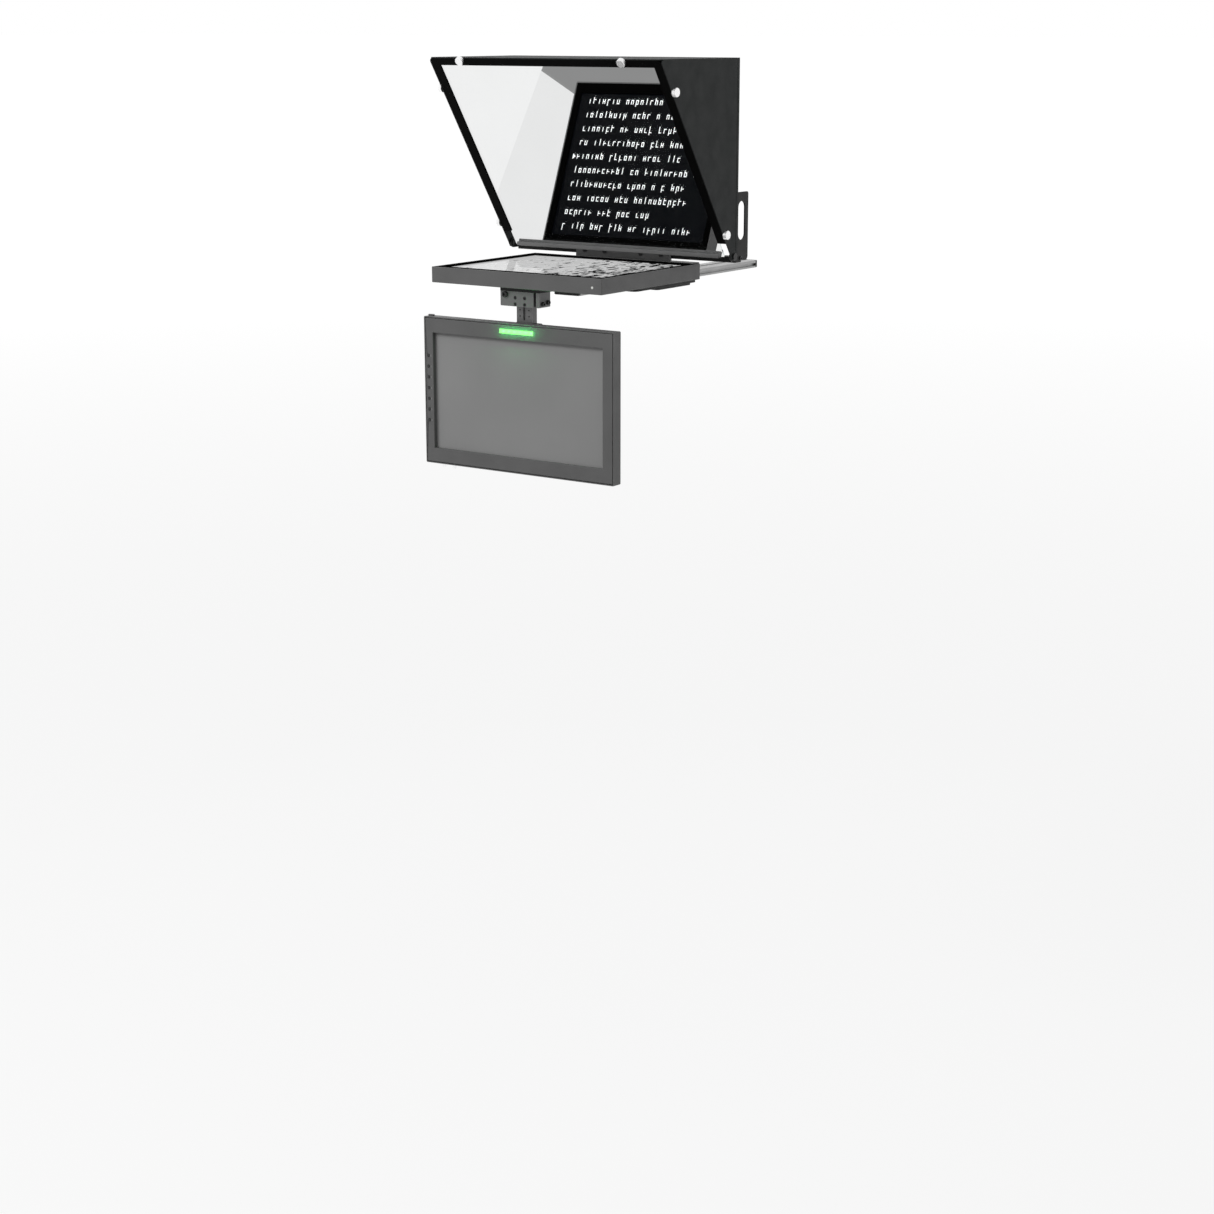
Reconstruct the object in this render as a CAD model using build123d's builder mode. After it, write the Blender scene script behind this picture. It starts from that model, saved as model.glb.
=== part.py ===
"""A studio teleprompter head: a hood with a beam splitter glass over a face-up prompter
monitor, a talent monitor that hangs in front, and the rail that carries them and the camera.

Frame, in millimetres: the origin is the tripod thread's mouth, under the rail. +Z is up and
-Y points at the talent, so the camera looks along -Y. Where the object mirrors, X = 0 is its
middle.
"""

from build123d import *
import os
from math import cos, radians, sin, tan

os.makedirs("parts", exist_ok=True)

# ---------------------------------------------------------------- driving dimensions
RUN = 0.05  # radial clearance of a pin that turns in its bore
SLIDE = 0.1  # gap on each side of a sliding face
FIT = 0.2  # gap round a part that drops into a recess
HOLE_EASE = 0.1  # a screw hole's radius over its screw's
M4 = 2.0  # screw radii
M5 = 2.5
M6 = 3.0
SHEET = 2.0  # sheet metal of the hood

# Rail and what bolts to it
RAIL_WIDTH = 60.0
RAIL_LOW = 12.0
RAIL_TOP = 28.0
RAIL_FRONT = -331.0
RAIL_BACK = 360.0
RAIL_CAP = 6.0
GROOVE_LOW = 16.0
GROOVE_TOP = 22.0
GROOVE_DEPTH = 5.0
PLATE_WIDTH = 90.0
PLATE_LENGTH = 130.0
TRIPOD_THREAD_R = 3.97  # 3/8"-16, tapping size
SMALL_THREAD_R = 2.55  # 1/4"-20, tapping size
SMALL_THREAD_Y = 32.0
PLATE_BOLTS_X = 60.0
PLATE_BOLTS_Y = 100.0
PLATE_BOLT_R = 3.3
RISER_HALF = 118.0
RISER_Y = -131.0
RISER_THICK = 4.0
BEAM_BACK = -107.0
BEAM_LOW = 75.0
BEAM_TOP = 87.0
ARM_IN = 271.5
ARM_THICK = 3.0
ARM_FRONT = -134.0
ARM_BACK = -86.6
ARM_TOP = 215.0
ARM_SLOT = (-111.5, 158.5)
ARM_SLOT_LENGTH = 77.0
ARM_SLOT_WIDTH = 26.0
ARM_BOLT = (-114.0, 83.5)  # Y and Z
PIVOT_Y = -142.0
PIVOT_Z = 89.0
PIVOT_R = 4.0
ARM_BOSS_R = 10.0
ARM_CORNER = 8.0

# Prompter monitor: a 19 inch, 5:4 panel lying face up
PROMPTER_HALF = 205.7
PROMPTER_FRONT = -505.0
PROMPTER_BACK = -156.0
PROMPTER_LOW = 41.0
PROMPTER_TOP = 72.0
PROMPTER_WALL = 2.4
PROMPTER_VIEW_X = 376.3
PROMPTER_VIEW_Y = 301.1
TRAY_HALF = 203.0
TRAY_FRONT = -384.0
TRAY_BACK = -163.0
TRAY_THICK = 5.0
VESA = 100.0  # both monitors' mounting holes
PROMPTER_BUTTONS = ("power", "menu", "input")
PROMPTER_BUTTON_Y = -300.0
PROMPTER_BUTTON_PITCH = 16.0
PROMPTER_BUTTON_Z = 56.0
CONNECTOR_Z = 55.0
LAMP_X = 184.0
LAMP_Z = 54.0

# Talent monitor: an 18.5 inch, 16:9 panel that faces the talent
TALENT_HALF = 231.0
TALENT_FRONT = -501.0
TALENT_BACK = -476.5
TALENT_TOP = -28.3
TALENT_LOW = -325.5
TALENT_WALL = 2.0
VIEW_LEFT = -209.0
VIEW_RIGHT = 205.0
VIEW_LOW = -294.4
VIEW_TOP = -59.9
BEZEL_THICK = 8.0
BEZEL_GROOVE = 1.4
TALLY_HALF = 41.0
TALLY_HEIGHT = 9.0
TALLY_Z = -44.5
TALENT_BUTTONS = ("input", "menu", "up", "down", "left", "right", "power")
TALENT_BUTTON_X = -221.0
TALENT_BUTTON_TOP = -107.0
TALENT_BUTTON_PITCH = 21.8
BUTTON_R = 3.2
BUTTON_TRAVEL = 0.6

# Hanger, column and tilt head of the talent monitor
HANGER_HALF = 48.0
HANGER_FRONT = -488.0
HANGER_BACK = -452.0
HANGER_LOW = 4.0
HANGER_TOP = 33.0
COLUMN_HALF = 19.0
COLUMN_FRONT = -473.0
COLUMN_BACK = -458.0
TILT_Y = -465.5
TILT_Z = -38.0
TILT_R = 4.0

# Hood and glass
GLASS_ANGLE = 56.0  # from the horizontal
GLASS_FOOT = (-159.3, 97.7)  # Y and Z of the opening's lower edge
OPENING_HALF = 256.0
OPENING_RISE = 437.3  # along the glass
FRAME_HALF = 275.0
FRAME_THICK = 8.0
FRAME_LIP = 2.0
FRAME_FOOT = 22.0  # the side bars end above the arms
GLASS_FOOT_RISE = -13.0  # the glass goes on down into its channel
GLASS_THICK = 3.0
GLASS_OVERLAP = 3.0
HOOD_HALF = 277.0
HOOD_TOP = 476.0
HOOD_BACK = -130.0
HOOD_LOW = 81.5
HOOD_CORNER = 12.0
CHANNEL_HALF = 250.0
CHANNEL_FRONT = -160.0
CHANNEL_BACK = -139.0
CHANNEL_LOW = 85.5
CHANNEL_TOP = 93.6
REAR_PANEL_LOW = 112.0
REAR_NOTCH_TOP = 226.0
REAR_NOTCH_HALF = 268.5
LENS_Z = 290.0
LENS_WINDOW = (240.0, 200.0)
SHROUD_BACK = -45.0
SHROUD_MOUTH = 138.0
SHROUD_THICK = 2.5
THUMB_R = 9.0
THUMB_HEIGHT = 8.0
TOP_THUMB_XS = (-198.0, 188.0)
TOP_THUMB_RISE = 450.0  # along the glass
TOP_THUMB_REACH = 3.0
SIDE_THUMB_RISES = (40.8, 379.1)
SIDE_THUMB_REACH = 15.0
KNURLS = 20

# Camera plate
CAMERA_FRONT = -50.0
CAMERA_BACK = 110.0
CAMERA_HALF = 36.0
CAMERA_TOP = 44.0
CAMERA_SCREW_R = 3.175  # 1/4"-20 stud
CAMERA_SCREW_OUT = 8.0
CAMERA_SHANK_R = 2.9

# ---------------------------------------------------------------- worked-out values
GLASS_PLANE = Plane(
    origin=(0, *GLASS_FOOT),
    x_dir=(1, 0, 0),
    z_dir=(0, -sin(radians(GLASS_ANGLE)), -cos(radians(GLASS_ANGLE))),
)
PROMPTER_MIDDLE = (PROMPTER_FRONT + PROMPTER_BACK) / 2
TRAY_MIDDLE = (TRAY_FRONT + TRAY_BACK) / 2
TRAY_LOW = PROMPTER_LOW - TRAY_THICK
TALENT_MIDDLE = (TALENT_TOP + TALENT_LOW) / 2
CAMERA_MIDDLE = (CAMERA_FRONT + CAMERA_BACK) / 2
UPRIGHT = (Align.CENTER, Align.CENTER, Align.MIN)


# ---------------------------------------------------------------- helpers
def block(low, high, mode=Mode.ADD):
    """A box between two opposite corners, in the current part."""
    middle = tuple((a + b) / 2 for a, b in zip(low, high))
    with Locations(middle):
        Box(*(b - a for a, b in zip(low, high)), mode=mode)


def rod(radius, start, end, mode=Mode.ADD):
    """A round bar between two points, in the current part."""
    along = Vector(*end) - Vector(*start)
    with Locations(Plane(origin=start, z_dir=along)):
        Cylinder(radius, along.length, align=UPRIGHT, mode=mode)


def patch(low, high, mode=Mode.ADD):
    """A rectangle between two opposite corners, in the current sketch."""
    with Locations(((low[0] + high[0]) / 2, (low[1] + high[1]) / 2)):
        Rectangle(high[0] - low[0], high[1] - low[1], mode=mode)


def glass_line_y(z, depth=0.0):
    """Y on the frame's front face at height z, or depth behind that face."""
    slope = radians(GLASS_ANGLE)
    return GLASS_FOOT[0] - (z - GLASS_FOOT[1]) / tan(slope) + depth / sin(slope)


def cap_screw(shank_radius, length, head_radius, head_height):
    """A socket head screw: the head stands on the origin, and the shank runs along -Z."""
    with BuildPart() as screw:
        Cylinder(head_radius, head_height, align=UPRIGHT)
        chamfer(screw.edges().sort_by(Axis.Z)[-1], head_height * 0.15)
        with BuildSketch(Plane.XY.offset(head_height)):
            RegularPolygon(head_radius * 0.55, 6)
        extrude(amount=-head_height * 0.5, mode=Mode.SUBTRACT)
        rod(shank_radius, (0, 0, 0), (0, 0, -length))
    return screw.part


def thumb_screw(shank_radius, length):
    """A knurled screw: the head stands on the origin, and the shank runs along -Z."""
    with BuildPart() as screw:
        Cylinder(THUMB_R, THUMB_HEIGHT, align=UPRIGHT)
        chamfer(screw.edges().sort_by(Axis.Z)[-1], 1.0)
        with PolarLocations(THUMB_R + 0.4, KNURLS):
            Cylinder(0.9, THUMB_HEIGHT, align=UPRIGHT, mode=Mode.SUBTRACT)
        rod(shank_radius, (0, 0, 0), (0, 0, -length))
    return screw.part


def lobed_knob(radius, height, lobes):
    """A hand knob with finger lobes: its back is on the origin, and it stands along +Z."""
    with BuildPart() as knob:
        with BuildSketch():
            Circle(radius * 0.82)
            with PolarLocations(radius * 0.72, lobes):
                Circle(radius * 0.28)
        extrude(amount=height * 0.7)
        with BuildSketch():
            Circle(radius * 0.45)
        extrude(amount=height)
        fillet(knob.faces().sort_by(Axis.Z)[-1].edges(), height * 0.08)
    return knob.part


def push_button(radius, out, behind):
    """A round cap that stands out along -Z from the origin, with a retaining flange behind."""
    with BuildPart() as button:
        rod(radius, (0, 0, -out), (0, 0, behind))
        fillet(button.edges().sort_by(Axis.Z)[0], radius * 0.15)
        rod(radius + 1.2, (0, 0, behind), (0, 0, behind + 1.0))
    return button.part


def finish(builder, name):
    """Label a finished piece and write its file."""
    builder.part.label = name
    export_step(builder.part, f"parts/{name}.step")


# ---------------------------------------------------------------- rail
RAIL_BOLTS = (30.0, 90.0)  # X and Y spacing of the bolts through the tripod plate
BLOCK_BOLTS = [(x, y) for y in (-270.0, -190.0) for x in (-15.0, 15.0)]
RISER_FOOT_BOLTS = [(-15.0, -90.0), (15.0, -90.0)]

with BuildPart() as camera_rail:
    with BuildSketch(Plane.XZ.offset(-(RAIL_BACK - RAIL_CAP))):
        patch((-RAIL_WIDTH / 2, RAIL_LOW), (RAIL_WIDTH / 2, RAIL_TOP))
        for side in (-1, 1):
            outer = side * RAIL_WIDTH / 2
            inner = side * (RAIL_WIDTH / 2 - GROOVE_DEPTH)
            patch((min(outer, inner), GROOVE_LOW), (max(outer, inner), GROOVE_TOP), mode=Mode.SUBTRACT)
        patch((-9, RAIL_TOP - 1.5), (9, RAIL_TOP), mode=Mode.SUBTRACT)
    extrude(amount=RAIL_BACK - RAIL_FRONT - 2 * RAIL_CAP)
    with Locations((0, 0, RAIL_LOW)):
        with GridLocations(*RAIL_BOLTS, 2, 2):
            Cylinder(M6 + HOLE_EASE, 10, align=UPRIGHT, mode=Mode.SUBTRACT)
    for x, y in BLOCK_BOLTS + RISER_FOOT_BOLTS:
        rod(M5 + HOLE_EASE, (x, y, RAIL_TOP), (x, y, RAIL_TOP - 9), mode=Mode.SUBTRACT)
finish(camera_rail, "camera_rail")

with BuildPart() as rail_end_caps:
    for y in (RAIL_FRONT + RAIL_CAP, RAIL_BACK):
        with BuildSketch(Plane.XZ.offset(-y)):
            with Locations((0, (RAIL_LOW + RAIL_TOP) / 2)):
                RectangleRounded(RAIL_WIDTH, RAIL_TOP - RAIL_LOW, 2)
        extrude(amount=RAIL_CAP)
finish(rail_end_caps, "rail_end_caps")

with BuildPart() as tripod_plate:
    with BuildSketch():
        RectangleRounded(PLATE_WIDTH, PLATE_LENGTH, 8)
    extrude(amount=RAIL_LOW)
    chamfer(tripod_plate.faces().sort_by(Axis.Z)[0].outer_wire().edges(), 1)
    Hole(TRIPOD_THREAD_R)
    with Locations((0, -SMALL_THREAD_Y), (0, SMALL_THREAD_Y)):
        Hole(SMALL_THREAD_R)
    with GridLocations(PLATE_BOLTS_X, PLATE_BOLTS_Y, 2, 2):
        Hole(PLATE_BOLT_R)
    with GridLocations(*RAIL_BOLTS, 2, 2):
        Cylinder(M6 + HOLE_EASE, RAIL_LOW, align=UPRIGHT, mode=Mode.SUBTRACT)
        Cylinder(5.4, 6.6, align=UPRIGHT, mode=Mode.SUBTRACT)
finish(tripod_plate, "tripod_plate")

# ---------------------------------------------------------------- riser, beam and arms
RISER_FOOT_BACK = -75.0
RISER_WIDE_LOW = 38.0
RISER_BOLTS_X = (-95.0, -45.0, 45.0, 95.0)
BEAM_FRONT = RISER_Y + RISER_THICK
BEAM_MIDDLE_Z = (BEAM_LOW + BEAM_TOP) / 2

with BuildPart() as riser_bracket:
    block((-RISER_HALF, RISER_Y, RISER_WIDE_LOW), (RISER_HALF, BEAM_FRONT, BEAM_TOP))
    fillet(riser_bracket.edges().filter_by(Axis.Y), 6)
    block((-29, RISER_Y, RAIL_TOP), (29, BEAM_FRONT, RISER_WIDE_LOW))
    block((-29, RISER_Y, RAIL_TOP), (29, RISER_FOOT_BACK, RAIL_TOP + RISER_THICK))
    for x in (-27, 23):
        with BuildSketch(Plane.YZ.offset(x)):
            Polygon((RISER_Y, RAIL_TOP), (RISER_FOOT_BACK, RAIL_TOP), (RISER_Y, 72), align=None)
        extrude(amount=4)
    with BuildSketch(Plane.XZ.offset(-RISER_Y)):
        with Locations((-72, 57), (72, 57)):
            SlotOverall(56, 14)
    extrude(amount=-RISER_THICK, mode=Mode.SUBTRACT)
    for x in RISER_BOLTS_X:
        start = (x, RISER_Y, BEAM_MIDDLE_Z)
        rod(M5 + HOLE_EASE, start, (x, BEAM_FRONT, BEAM_MIDDLE_Z), mode=Mode.SUBTRACT)
    for x, y in RISER_FOOT_BOLTS:
        rod(M5 + HOLE_EASE, (x, y, RAIL_TOP), (x, y, RAIL_TOP + RISER_THICK), mode=Mode.SUBTRACT)
finish(riser_bracket, "riser_bracket")

with BuildPart() as support_beam:
    block((-ARM_IN, BEAM_FRONT, BEAM_LOW), (ARM_IN, BEAM_BACK, BEAM_TOP))
    low = (-255, BEAM_FRONT + 8, BEAM_LOW + 2)
    block(low, (255, BEAM_BACK - 2, BEAM_TOP - 2), mode=Mode.SUBTRACT)
    for x in RISER_BOLTS_X:
        start = (x, BEAM_FRONT, BEAM_MIDDLE_Z)
        rod(M5 + HOLE_EASE, start, (x, BEAM_FRONT + 8, BEAM_MIDDLE_Z), mode=Mode.SUBTRACT)
    for side in (-1, 1):
        rod(M5 + HOLE_EASE, (side * 259, *ARM_BOLT), (side * ARM_IN, *ARM_BOLT), mode=Mode.SUBTRACT)
finish(support_beam, "support_beam")


def side_arm(side):
    """A slotted plate that stands on the beam's end and carries the hood's pivot pin."""
    with BuildPart() as arm:
        with BuildSketch(Plane.YZ.offset(side * ARM_IN)):
            with BuildLine():
                Polyline(
                    (PIVOT_Y, PIVOT_Z - ARM_BOSS_R),
                    (ARM_BACK, PIVOT_Z - ARM_BOSS_R),
                    (ARM_BACK, ARM_TOP),
                    (ARM_FRONT, ARM_TOP),
                    (ARM_FRONT, PIVOT_Z + ARM_BOSS_R),
                    (PIVOT_Y, PIVOT_Z + ARM_BOSS_R),
                )
                CenterArc((PIVOT_Y, PIVOT_Z), ARM_BOSS_R, 90, 180)
            make_face()
            with Locations(ARM_SLOT):
                SlotOverall(ARM_SLOT_LENGTH, ARM_SLOT_WIDTH, rotation=90, mode=Mode.SUBTRACT)
            with Locations((PIVOT_Y, PIVOT_Z)):
                Circle(PIVOT_R + RUN, mode=Mode.SUBTRACT)
            with Locations(ARM_BOLT):
                Circle(M5 + HOLE_EASE, mode=Mode.SUBTRACT)
        extrude(amount=side * ARM_THICK)
        corners = arm.edges().filter_by(Axis.X)
        fillet(corners.group_by(Axis.Z)[-1], 5)
        fillet(corners.group_by(Axis.Y)[-1].sort_by(Axis.Z)[0], ARM_CORNER)
    return arm


side_arm_left = side_arm(-1)
finish(side_arm_left, "side_arm_left")
side_arm_right = side_arm(1)
finish(side_arm_right, "side_arm_right")

with BuildPart() as hood_pivot_pins:
    for side in (-1, 1):
        at = [side * x for x in (ARM_IN - 3, ARM_IN, HOOD_HALF + RUN * 4, HOOD_HALF + 3.2)]
        rod(PIVOT_R, (at[0], PIVOT_Y, PIVOT_Z), (at[3], PIVOT_Y, PIVOT_Z))
        rod(PIVOT_R + 3, (at[0], PIVOT_Y, PIVOT_Z), (at[1], PIVOT_Y, PIVOT_Z))
        rod(PIVOT_R + 3, (at[2], PIVOT_Y, PIVOT_Z), (at[3], PIVOT_Y, PIVOT_Z))
finish(hood_pivot_pins, "hood_pivot_pins")

# ---------------------------------------------------------------- tray under the prompter
TRAY_BLOCK_FRONT = -300.0
TRAY_BLOCK_BACK = -170.0
TRAY_BLOCK_HALF = 38.0
TONGUE_TRAY_BOLTS = [(-30.0, -350.0), (30.0, -350.0)]

with BuildPart() as tray_block:
    block((-TRAY_BLOCK_HALF, TRAY_BLOCK_FRONT, RAIL_TOP), (TRAY_BLOCK_HALF, TRAY_BLOCK_BACK, TRAY_LOW))
    for side in (-1, 1):
        outer = side * TRAY_BLOCK_HALF
        inner = side * (RAIL_WIDTH / 2 + SLIDE)
        block(
            (min(outer, inner), TRAY_BLOCK_FRONT, GROOVE_TOP - 4),
            (max(outer, inner), TRAY_BLOCK_BACK, RAIL_TOP),
        )
    for x, y in BLOCK_BOLTS:
        rod(M5 + HOLE_EASE, (x, y, RAIL_TOP), (x, y, TRAY_LOW), mode=Mode.SUBTRACT)
finish(tray_block, "tray_block")

with BuildPart() as monitor_tray:
    with BuildSketch(Plane.XY.offset(TRAY_LOW)):
        with Locations((0, TRAY_MIDDLE)):
            RectangleRounded(2 * TRAY_HALF, TRAY_BACK - TRAY_FRONT, 10)
            with GridLocations(260, 120, 2, 2):
                SlotOverall(90, 30, mode=Mode.SUBTRACT)
            with GridLocations(VESA, VESA, 2, 2):
                Circle(M4 + HOLE_EASE, mode=Mode.SUBTRACT)
    extrude(amount=TRAY_THICK)
    for x, y in BLOCK_BOLTS:
        rod(M5 + HOLE_EASE, (x, y, TRAY_LOW), (x, y, PROMPTER_LOW), mode=Mode.SUBTRACT)
        rod(4.7, (x, y, PROMPTER_LOW - 2.6), (x, y, PROMPTER_LOW), mode=Mode.SUBTRACT)
    for x, y in TONGUE_TRAY_BOLTS:
        rod(M4 + HOLE_EASE, (x, y, TRAY_LOW), (x, y, PROMPTER_LOW), mode=Mode.SUBTRACT)
        rod(4.2, (x, y, PROMPTER_LOW - 2.6), (x, y, PROMPTER_LOW), mode=Mode.SUBTRACT)
finish(monitor_tray, "monitor_tray")

HALF_VESA = VESA / 2
PROMPTER_VESA = [(x, TRAY_MIDDLE + y) for x in (-HALF_VESA, HALF_VESA) for y in (-HALF_VESA, HALF_VESA)]

with BuildPart() as tray_screws:
    with Locations(*[(x, y, PROMPTER_LOW - 2.6) for x, y in BLOCK_BOLTS]):
        add(cap_screw(M5, 18, 4.5, 2.4))
    with Locations(*[(x, y, PROMPTER_LOW - 2.6) for x, y in TONGUE_TRAY_BOLTS]):
        add(cap_screw(M4, 5.2, 4, 2.4))
    with Locations(*[Plane(origin=(x, y, TRAY_LOW), z_dir=(0, 0, -1)) for x, y in PROMPTER_VESA]):
        add(cap_screw(M4, 12, 3.5, 3))
finish(tray_screws, "tray_screws")

# ---------------------------------------------------------------- prompter monitor
CASE_FLOOR = PROMPTER_LOW + 2.0
COVER_LOW = PROMPTER_TOP - 4.9
COVER_THICK = 1.9
RIM_LOW = PROMPTER_TOP - 2.9
RIM_THICK = 2.5
INNER_HALF = PROMPTER_HALF - PROMPTER_WALL
INNER_FRONT = PROMPTER_FRONT + PROMPTER_WALL
INNER_BACK = PROMPTER_BACK - PROMPTER_WALL
SOCKET_XS = (-120.0, -90.0, -60.0, -20.0)
SOCKET_R = 4.6
PORT_XS = (30.0, 70.0)
LAMP_R = 2.5
BUTTON_YS = [PROMPTER_BUTTON_Y + i * PROMPTER_BUTTON_PITCH for i, _ in enumerate(PROMPTER_BUTTONS)]

with BuildPart() as prompter_case:
    block((-PROMPTER_HALF, PROMPTER_FRONT, PROMPTER_LOW), (PROMPTER_HALF, PROMPTER_BACK, PROMPTER_TOP))
    fillet(prompter_case.edges().filter_by(Axis.Z), 2)
    chamfer(prompter_case.faces().sort_by(Axis.Z)[0].edges(), 0.8)
    block((-INNER_HALF, INNER_FRONT, CASE_FLOOR), (INNER_HALF, INNER_BACK, PROMPTER_TOP), mode=Mode.SUBTRACT)
    with Locations((0, PROMPTER_MIDDLE, CASE_FLOOR)):
        with GridLocations(350, 280, 2, 2):
            Cylinder(5, 14.8, align=UPRIGHT)
    for x, y in PROMPTER_VESA:
        rod(5.5, (x, y, CASE_FLOOR), (x, y, CASE_FLOOR + 6))
        rod(M4 + HOLE_EASE, (x, y, PROMPTER_LOW), (x, y, CASE_FLOOR + 5), mode=Mode.SUBTRACT)
    for x in SOCKET_XS:
        start = (x, INNER_BACK, CONNECTOR_Z)
        rod(SOCKET_R + FIT, start, (x, PROMPTER_BACK, CONNECTOR_Z), mode=Mode.SUBTRACT)
    for x in PORT_XS:
        low = (x - 8 - FIT, INNER_BACK, CONNECTOR_Z - 4 - FIT)
        block(low, (x + 8 + FIT, PROMPTER_BACK, CONNECTOR_Z + 3 + FIT), mode=Mode.SUBTRACT)
    for y in BUTTON_YS:
        start = (-PROMPTER_HALF, y, PROMPTER_BUTTON_Z)
        rod(BUTTON_R + FIT, start, (-INNER_HALF, y, PROMPTER_BUTTON_Z), mode=Mode.SUBTRACT)
    start = (LAMP_X, PROMPTER_FRONT, LAMP_Z)
    rod(LAMP_R + FIT, start, (LAMP_X, INNER_FRONT, LAMP_Z), mode=Mode.SUBTRACT)
    for x in (-160, -140, 140, 160):
        for y in range(-420, -180, 24):
            with Locations((x, y, PROMPTER_LOW)):
                Box(4, 14, 2, align=UPRIGHT, mode=Mode.SUBTRACT)
finish(prompter_case, "prompter_case")

with BuildPart() as prompter_cover_glass:
    low = (-INNER_HALF + FIT, INNER_FRONT + FIT, COVER_LOW)
    block(low, (INNER_HALF - FIT, INNER_BACK - FIT, COVER_LOW + COVER_THICK))
    fillet(prompter_cover_glass.edges().filter_by(Axis.Z), 1)
finish(prompter_cover_glass, "prompter_cover_glass")

with BuildPart() as prompter_bezel:
    with BuildSketch(Plane.XY.offset(RIM_LOW)):
        patch((-INNER_HALF + FIT, INNER_FRONT + FIT), (INNER_HALF - FIT, INNER_BACK - FIT))
        with Locations((0, PROMPTER_MIDDLE)):
            Rectangle(PROMPTER_VIEW_X, PROMPTER_VIEW_Y, mode=Mode.SUBTRACT)
    extrude(amount=RIM_THICK)
    chamfer(prompter_bezel.faces().sort_by(Axis.Z)[-1].inner_wires()[0].edges(), 1.2)
finish(prompter_bezel, "prompter_bezel")

with BuildPart() as prompter_lcd_panel:
    with Locations((0, PROMPTER_MIDDLE, 64.2)):
        Box(PROMPTER_VIEW_X + 12, PROMPTER_VIEW_Y + 12, 2.6, align=UPRIGHT)
finish(prompter_lcd_panel, "prompter_lcd_panel")

with BuildPart() as prompter_backlight:
    with Locations((0, PROMPTER_MIDDLE, 58)):
        Box(PROMPTER_VIEW_X + 18, PROMPTER_VIEW_Y + 18, 6, align=UPRIGHT)
    fillet(prompter_backlight.edges().filter_by(Axis.Z), 4)
finish(prompter_backlight, "prompter_backlight")

with BuildPart() as prompter_main_board:
    block((-130, -312, 47), (90, -236, 48.6))
    for x, y in ((-100, -290), (-40, -262), (10, -290), (55, -262)):
        with Locations((x, y, 48.6)):
            Box(18, 18, 3, align=UPRIGHT)
    for x in (-124, 84):
        for y in (-306, -242):
            rod(3, (x, y, CASE_FLOOR), (x, y, 47))
finish(prompter_main_board, "prompter_main_board")

with BuildPart() as prompter_connectors:
    for x in SOCKET_XS:
        mouth = (x, PROMPTER_BACK + 9, CONNECTOR_Z)
        rod(SOCKET_R, (x, PROMPTER_BACK - 13, CONNECTOR_Z), mouth)
        rod(3.3, (x, PROMPTER_BACK + 2, CONNECTOR_Z), mouth, mode=Mode.SUBTRACT)
        rod(0.8, (x, PROMPTER_BACK + 1, CONNECTOR_Z), (x, PROMPTER_BACK + 7, CONNECTOR_Z))
    for x in PORT_XS:
        low = (x - 8, PROMPTER_BACK - 13, CONNECTOR_Z - 4)
        block(low, (x + 8, PROMPTER_BACK + 0.5, CONNECTOR_Z + 3))
        low = (x - 6.5, PROMPTER_BACK - 10, CONNECTOR_Z - 2.5)
        block(low, (x + 6.5, PROMPTER_BACK + 0.5, CONNECTOR_Z + 1.5), mode=Mode.SUBTRACT)
finish(prompter_connectors, "prompter_connectors")

with BuildPart() as prompter_power_lamp:
    rod(LAMP_R, (LAMP_X, PROMPTER_FRONT - 0.6, LAMP_Z), (LAMP_X, INNER_FRONT + 4, LAMP_Z))
    fillet(prompter_power_lamp.edges().sort_by(Axis.Y)[0], 0.5)
finish(prompter_power_lamp, "prompter_power_lamp")

for use, y in zip(PROMPTER_BUTTONS, BUTTON_YS):
    with BuildPart() as prompter_button:
        seat = (-PROMPTER_HALF, y, PROMPTER_BUTTON_Z)
        with Locations(Plane(origin=seat, x_dir=(0, 1, 0), z_dir=(1, 0, 0))):
            add(push_button(BUTTON_R, 1.2, PROMPTER_WALL + SLIDE))
    finish(prompter_button, f"prompter_{use}_button")

# ---------------------------------------------------------------- hanger of the talent monitor
TONGUE_BOLTS = [(-28.0, -474.0), (28.0, -474.0)]
TONGUE_NECK_HALF = 36.0
FRONT_KNOB = (-35.0, 26.5)  # X and Z of the big screw on the front
FRONT_SCREWS = [(x, z) for x in (-11.5, 11.5) for z in (8.5, 21.0)]
SIDE_SCREWS = [(-478.0, 11.0), (-461.0, 13.0)]  # Y and Z on the right side
FRONT_SLOT = (33.0, 39.0)
LOCK_Z = 20.0

with BuildPart() as hanger_tongue:
    block((-HANGER_HALF, HANGER_FRONT, HANGER_TOP), (HANGER_HALF, TRAY_FRONT - 1, PROMPTER_LOW))
    block((-TONGUE_NECK_HALF, TRAY_FRONT - 1, HANGER_TOP), (TONGUE_NECK_HALF, -336, TRAY_LOW))
    fillet(hanger_tongue.edges().filter_by(Axis.Z).group_by(Axis.Y)[-1], 6)
    for x, y in TONGUE_TRAY_BOLTS:
        rod(M4 + HOLE_EASE, (x, y, HANGER_TOP), (x, y, TRAY_LOW), mode=Mode.SUBTRACT)
    for x, y in TONGUE_BOLTS:
        rod(M5 + HOLE_EASE, (x, y, HANGER_TOP), (x, y, PROMPTER_LOW), mode=Mode.SUBTRACT)
        rod(4.7, (x, y, PROMPTER_LOW - 4), (x, y, PROMPTER_LOW), mode=Mode.SUBTRACT)
finish(hanger_tongue, "hanger_tongue")

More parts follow.
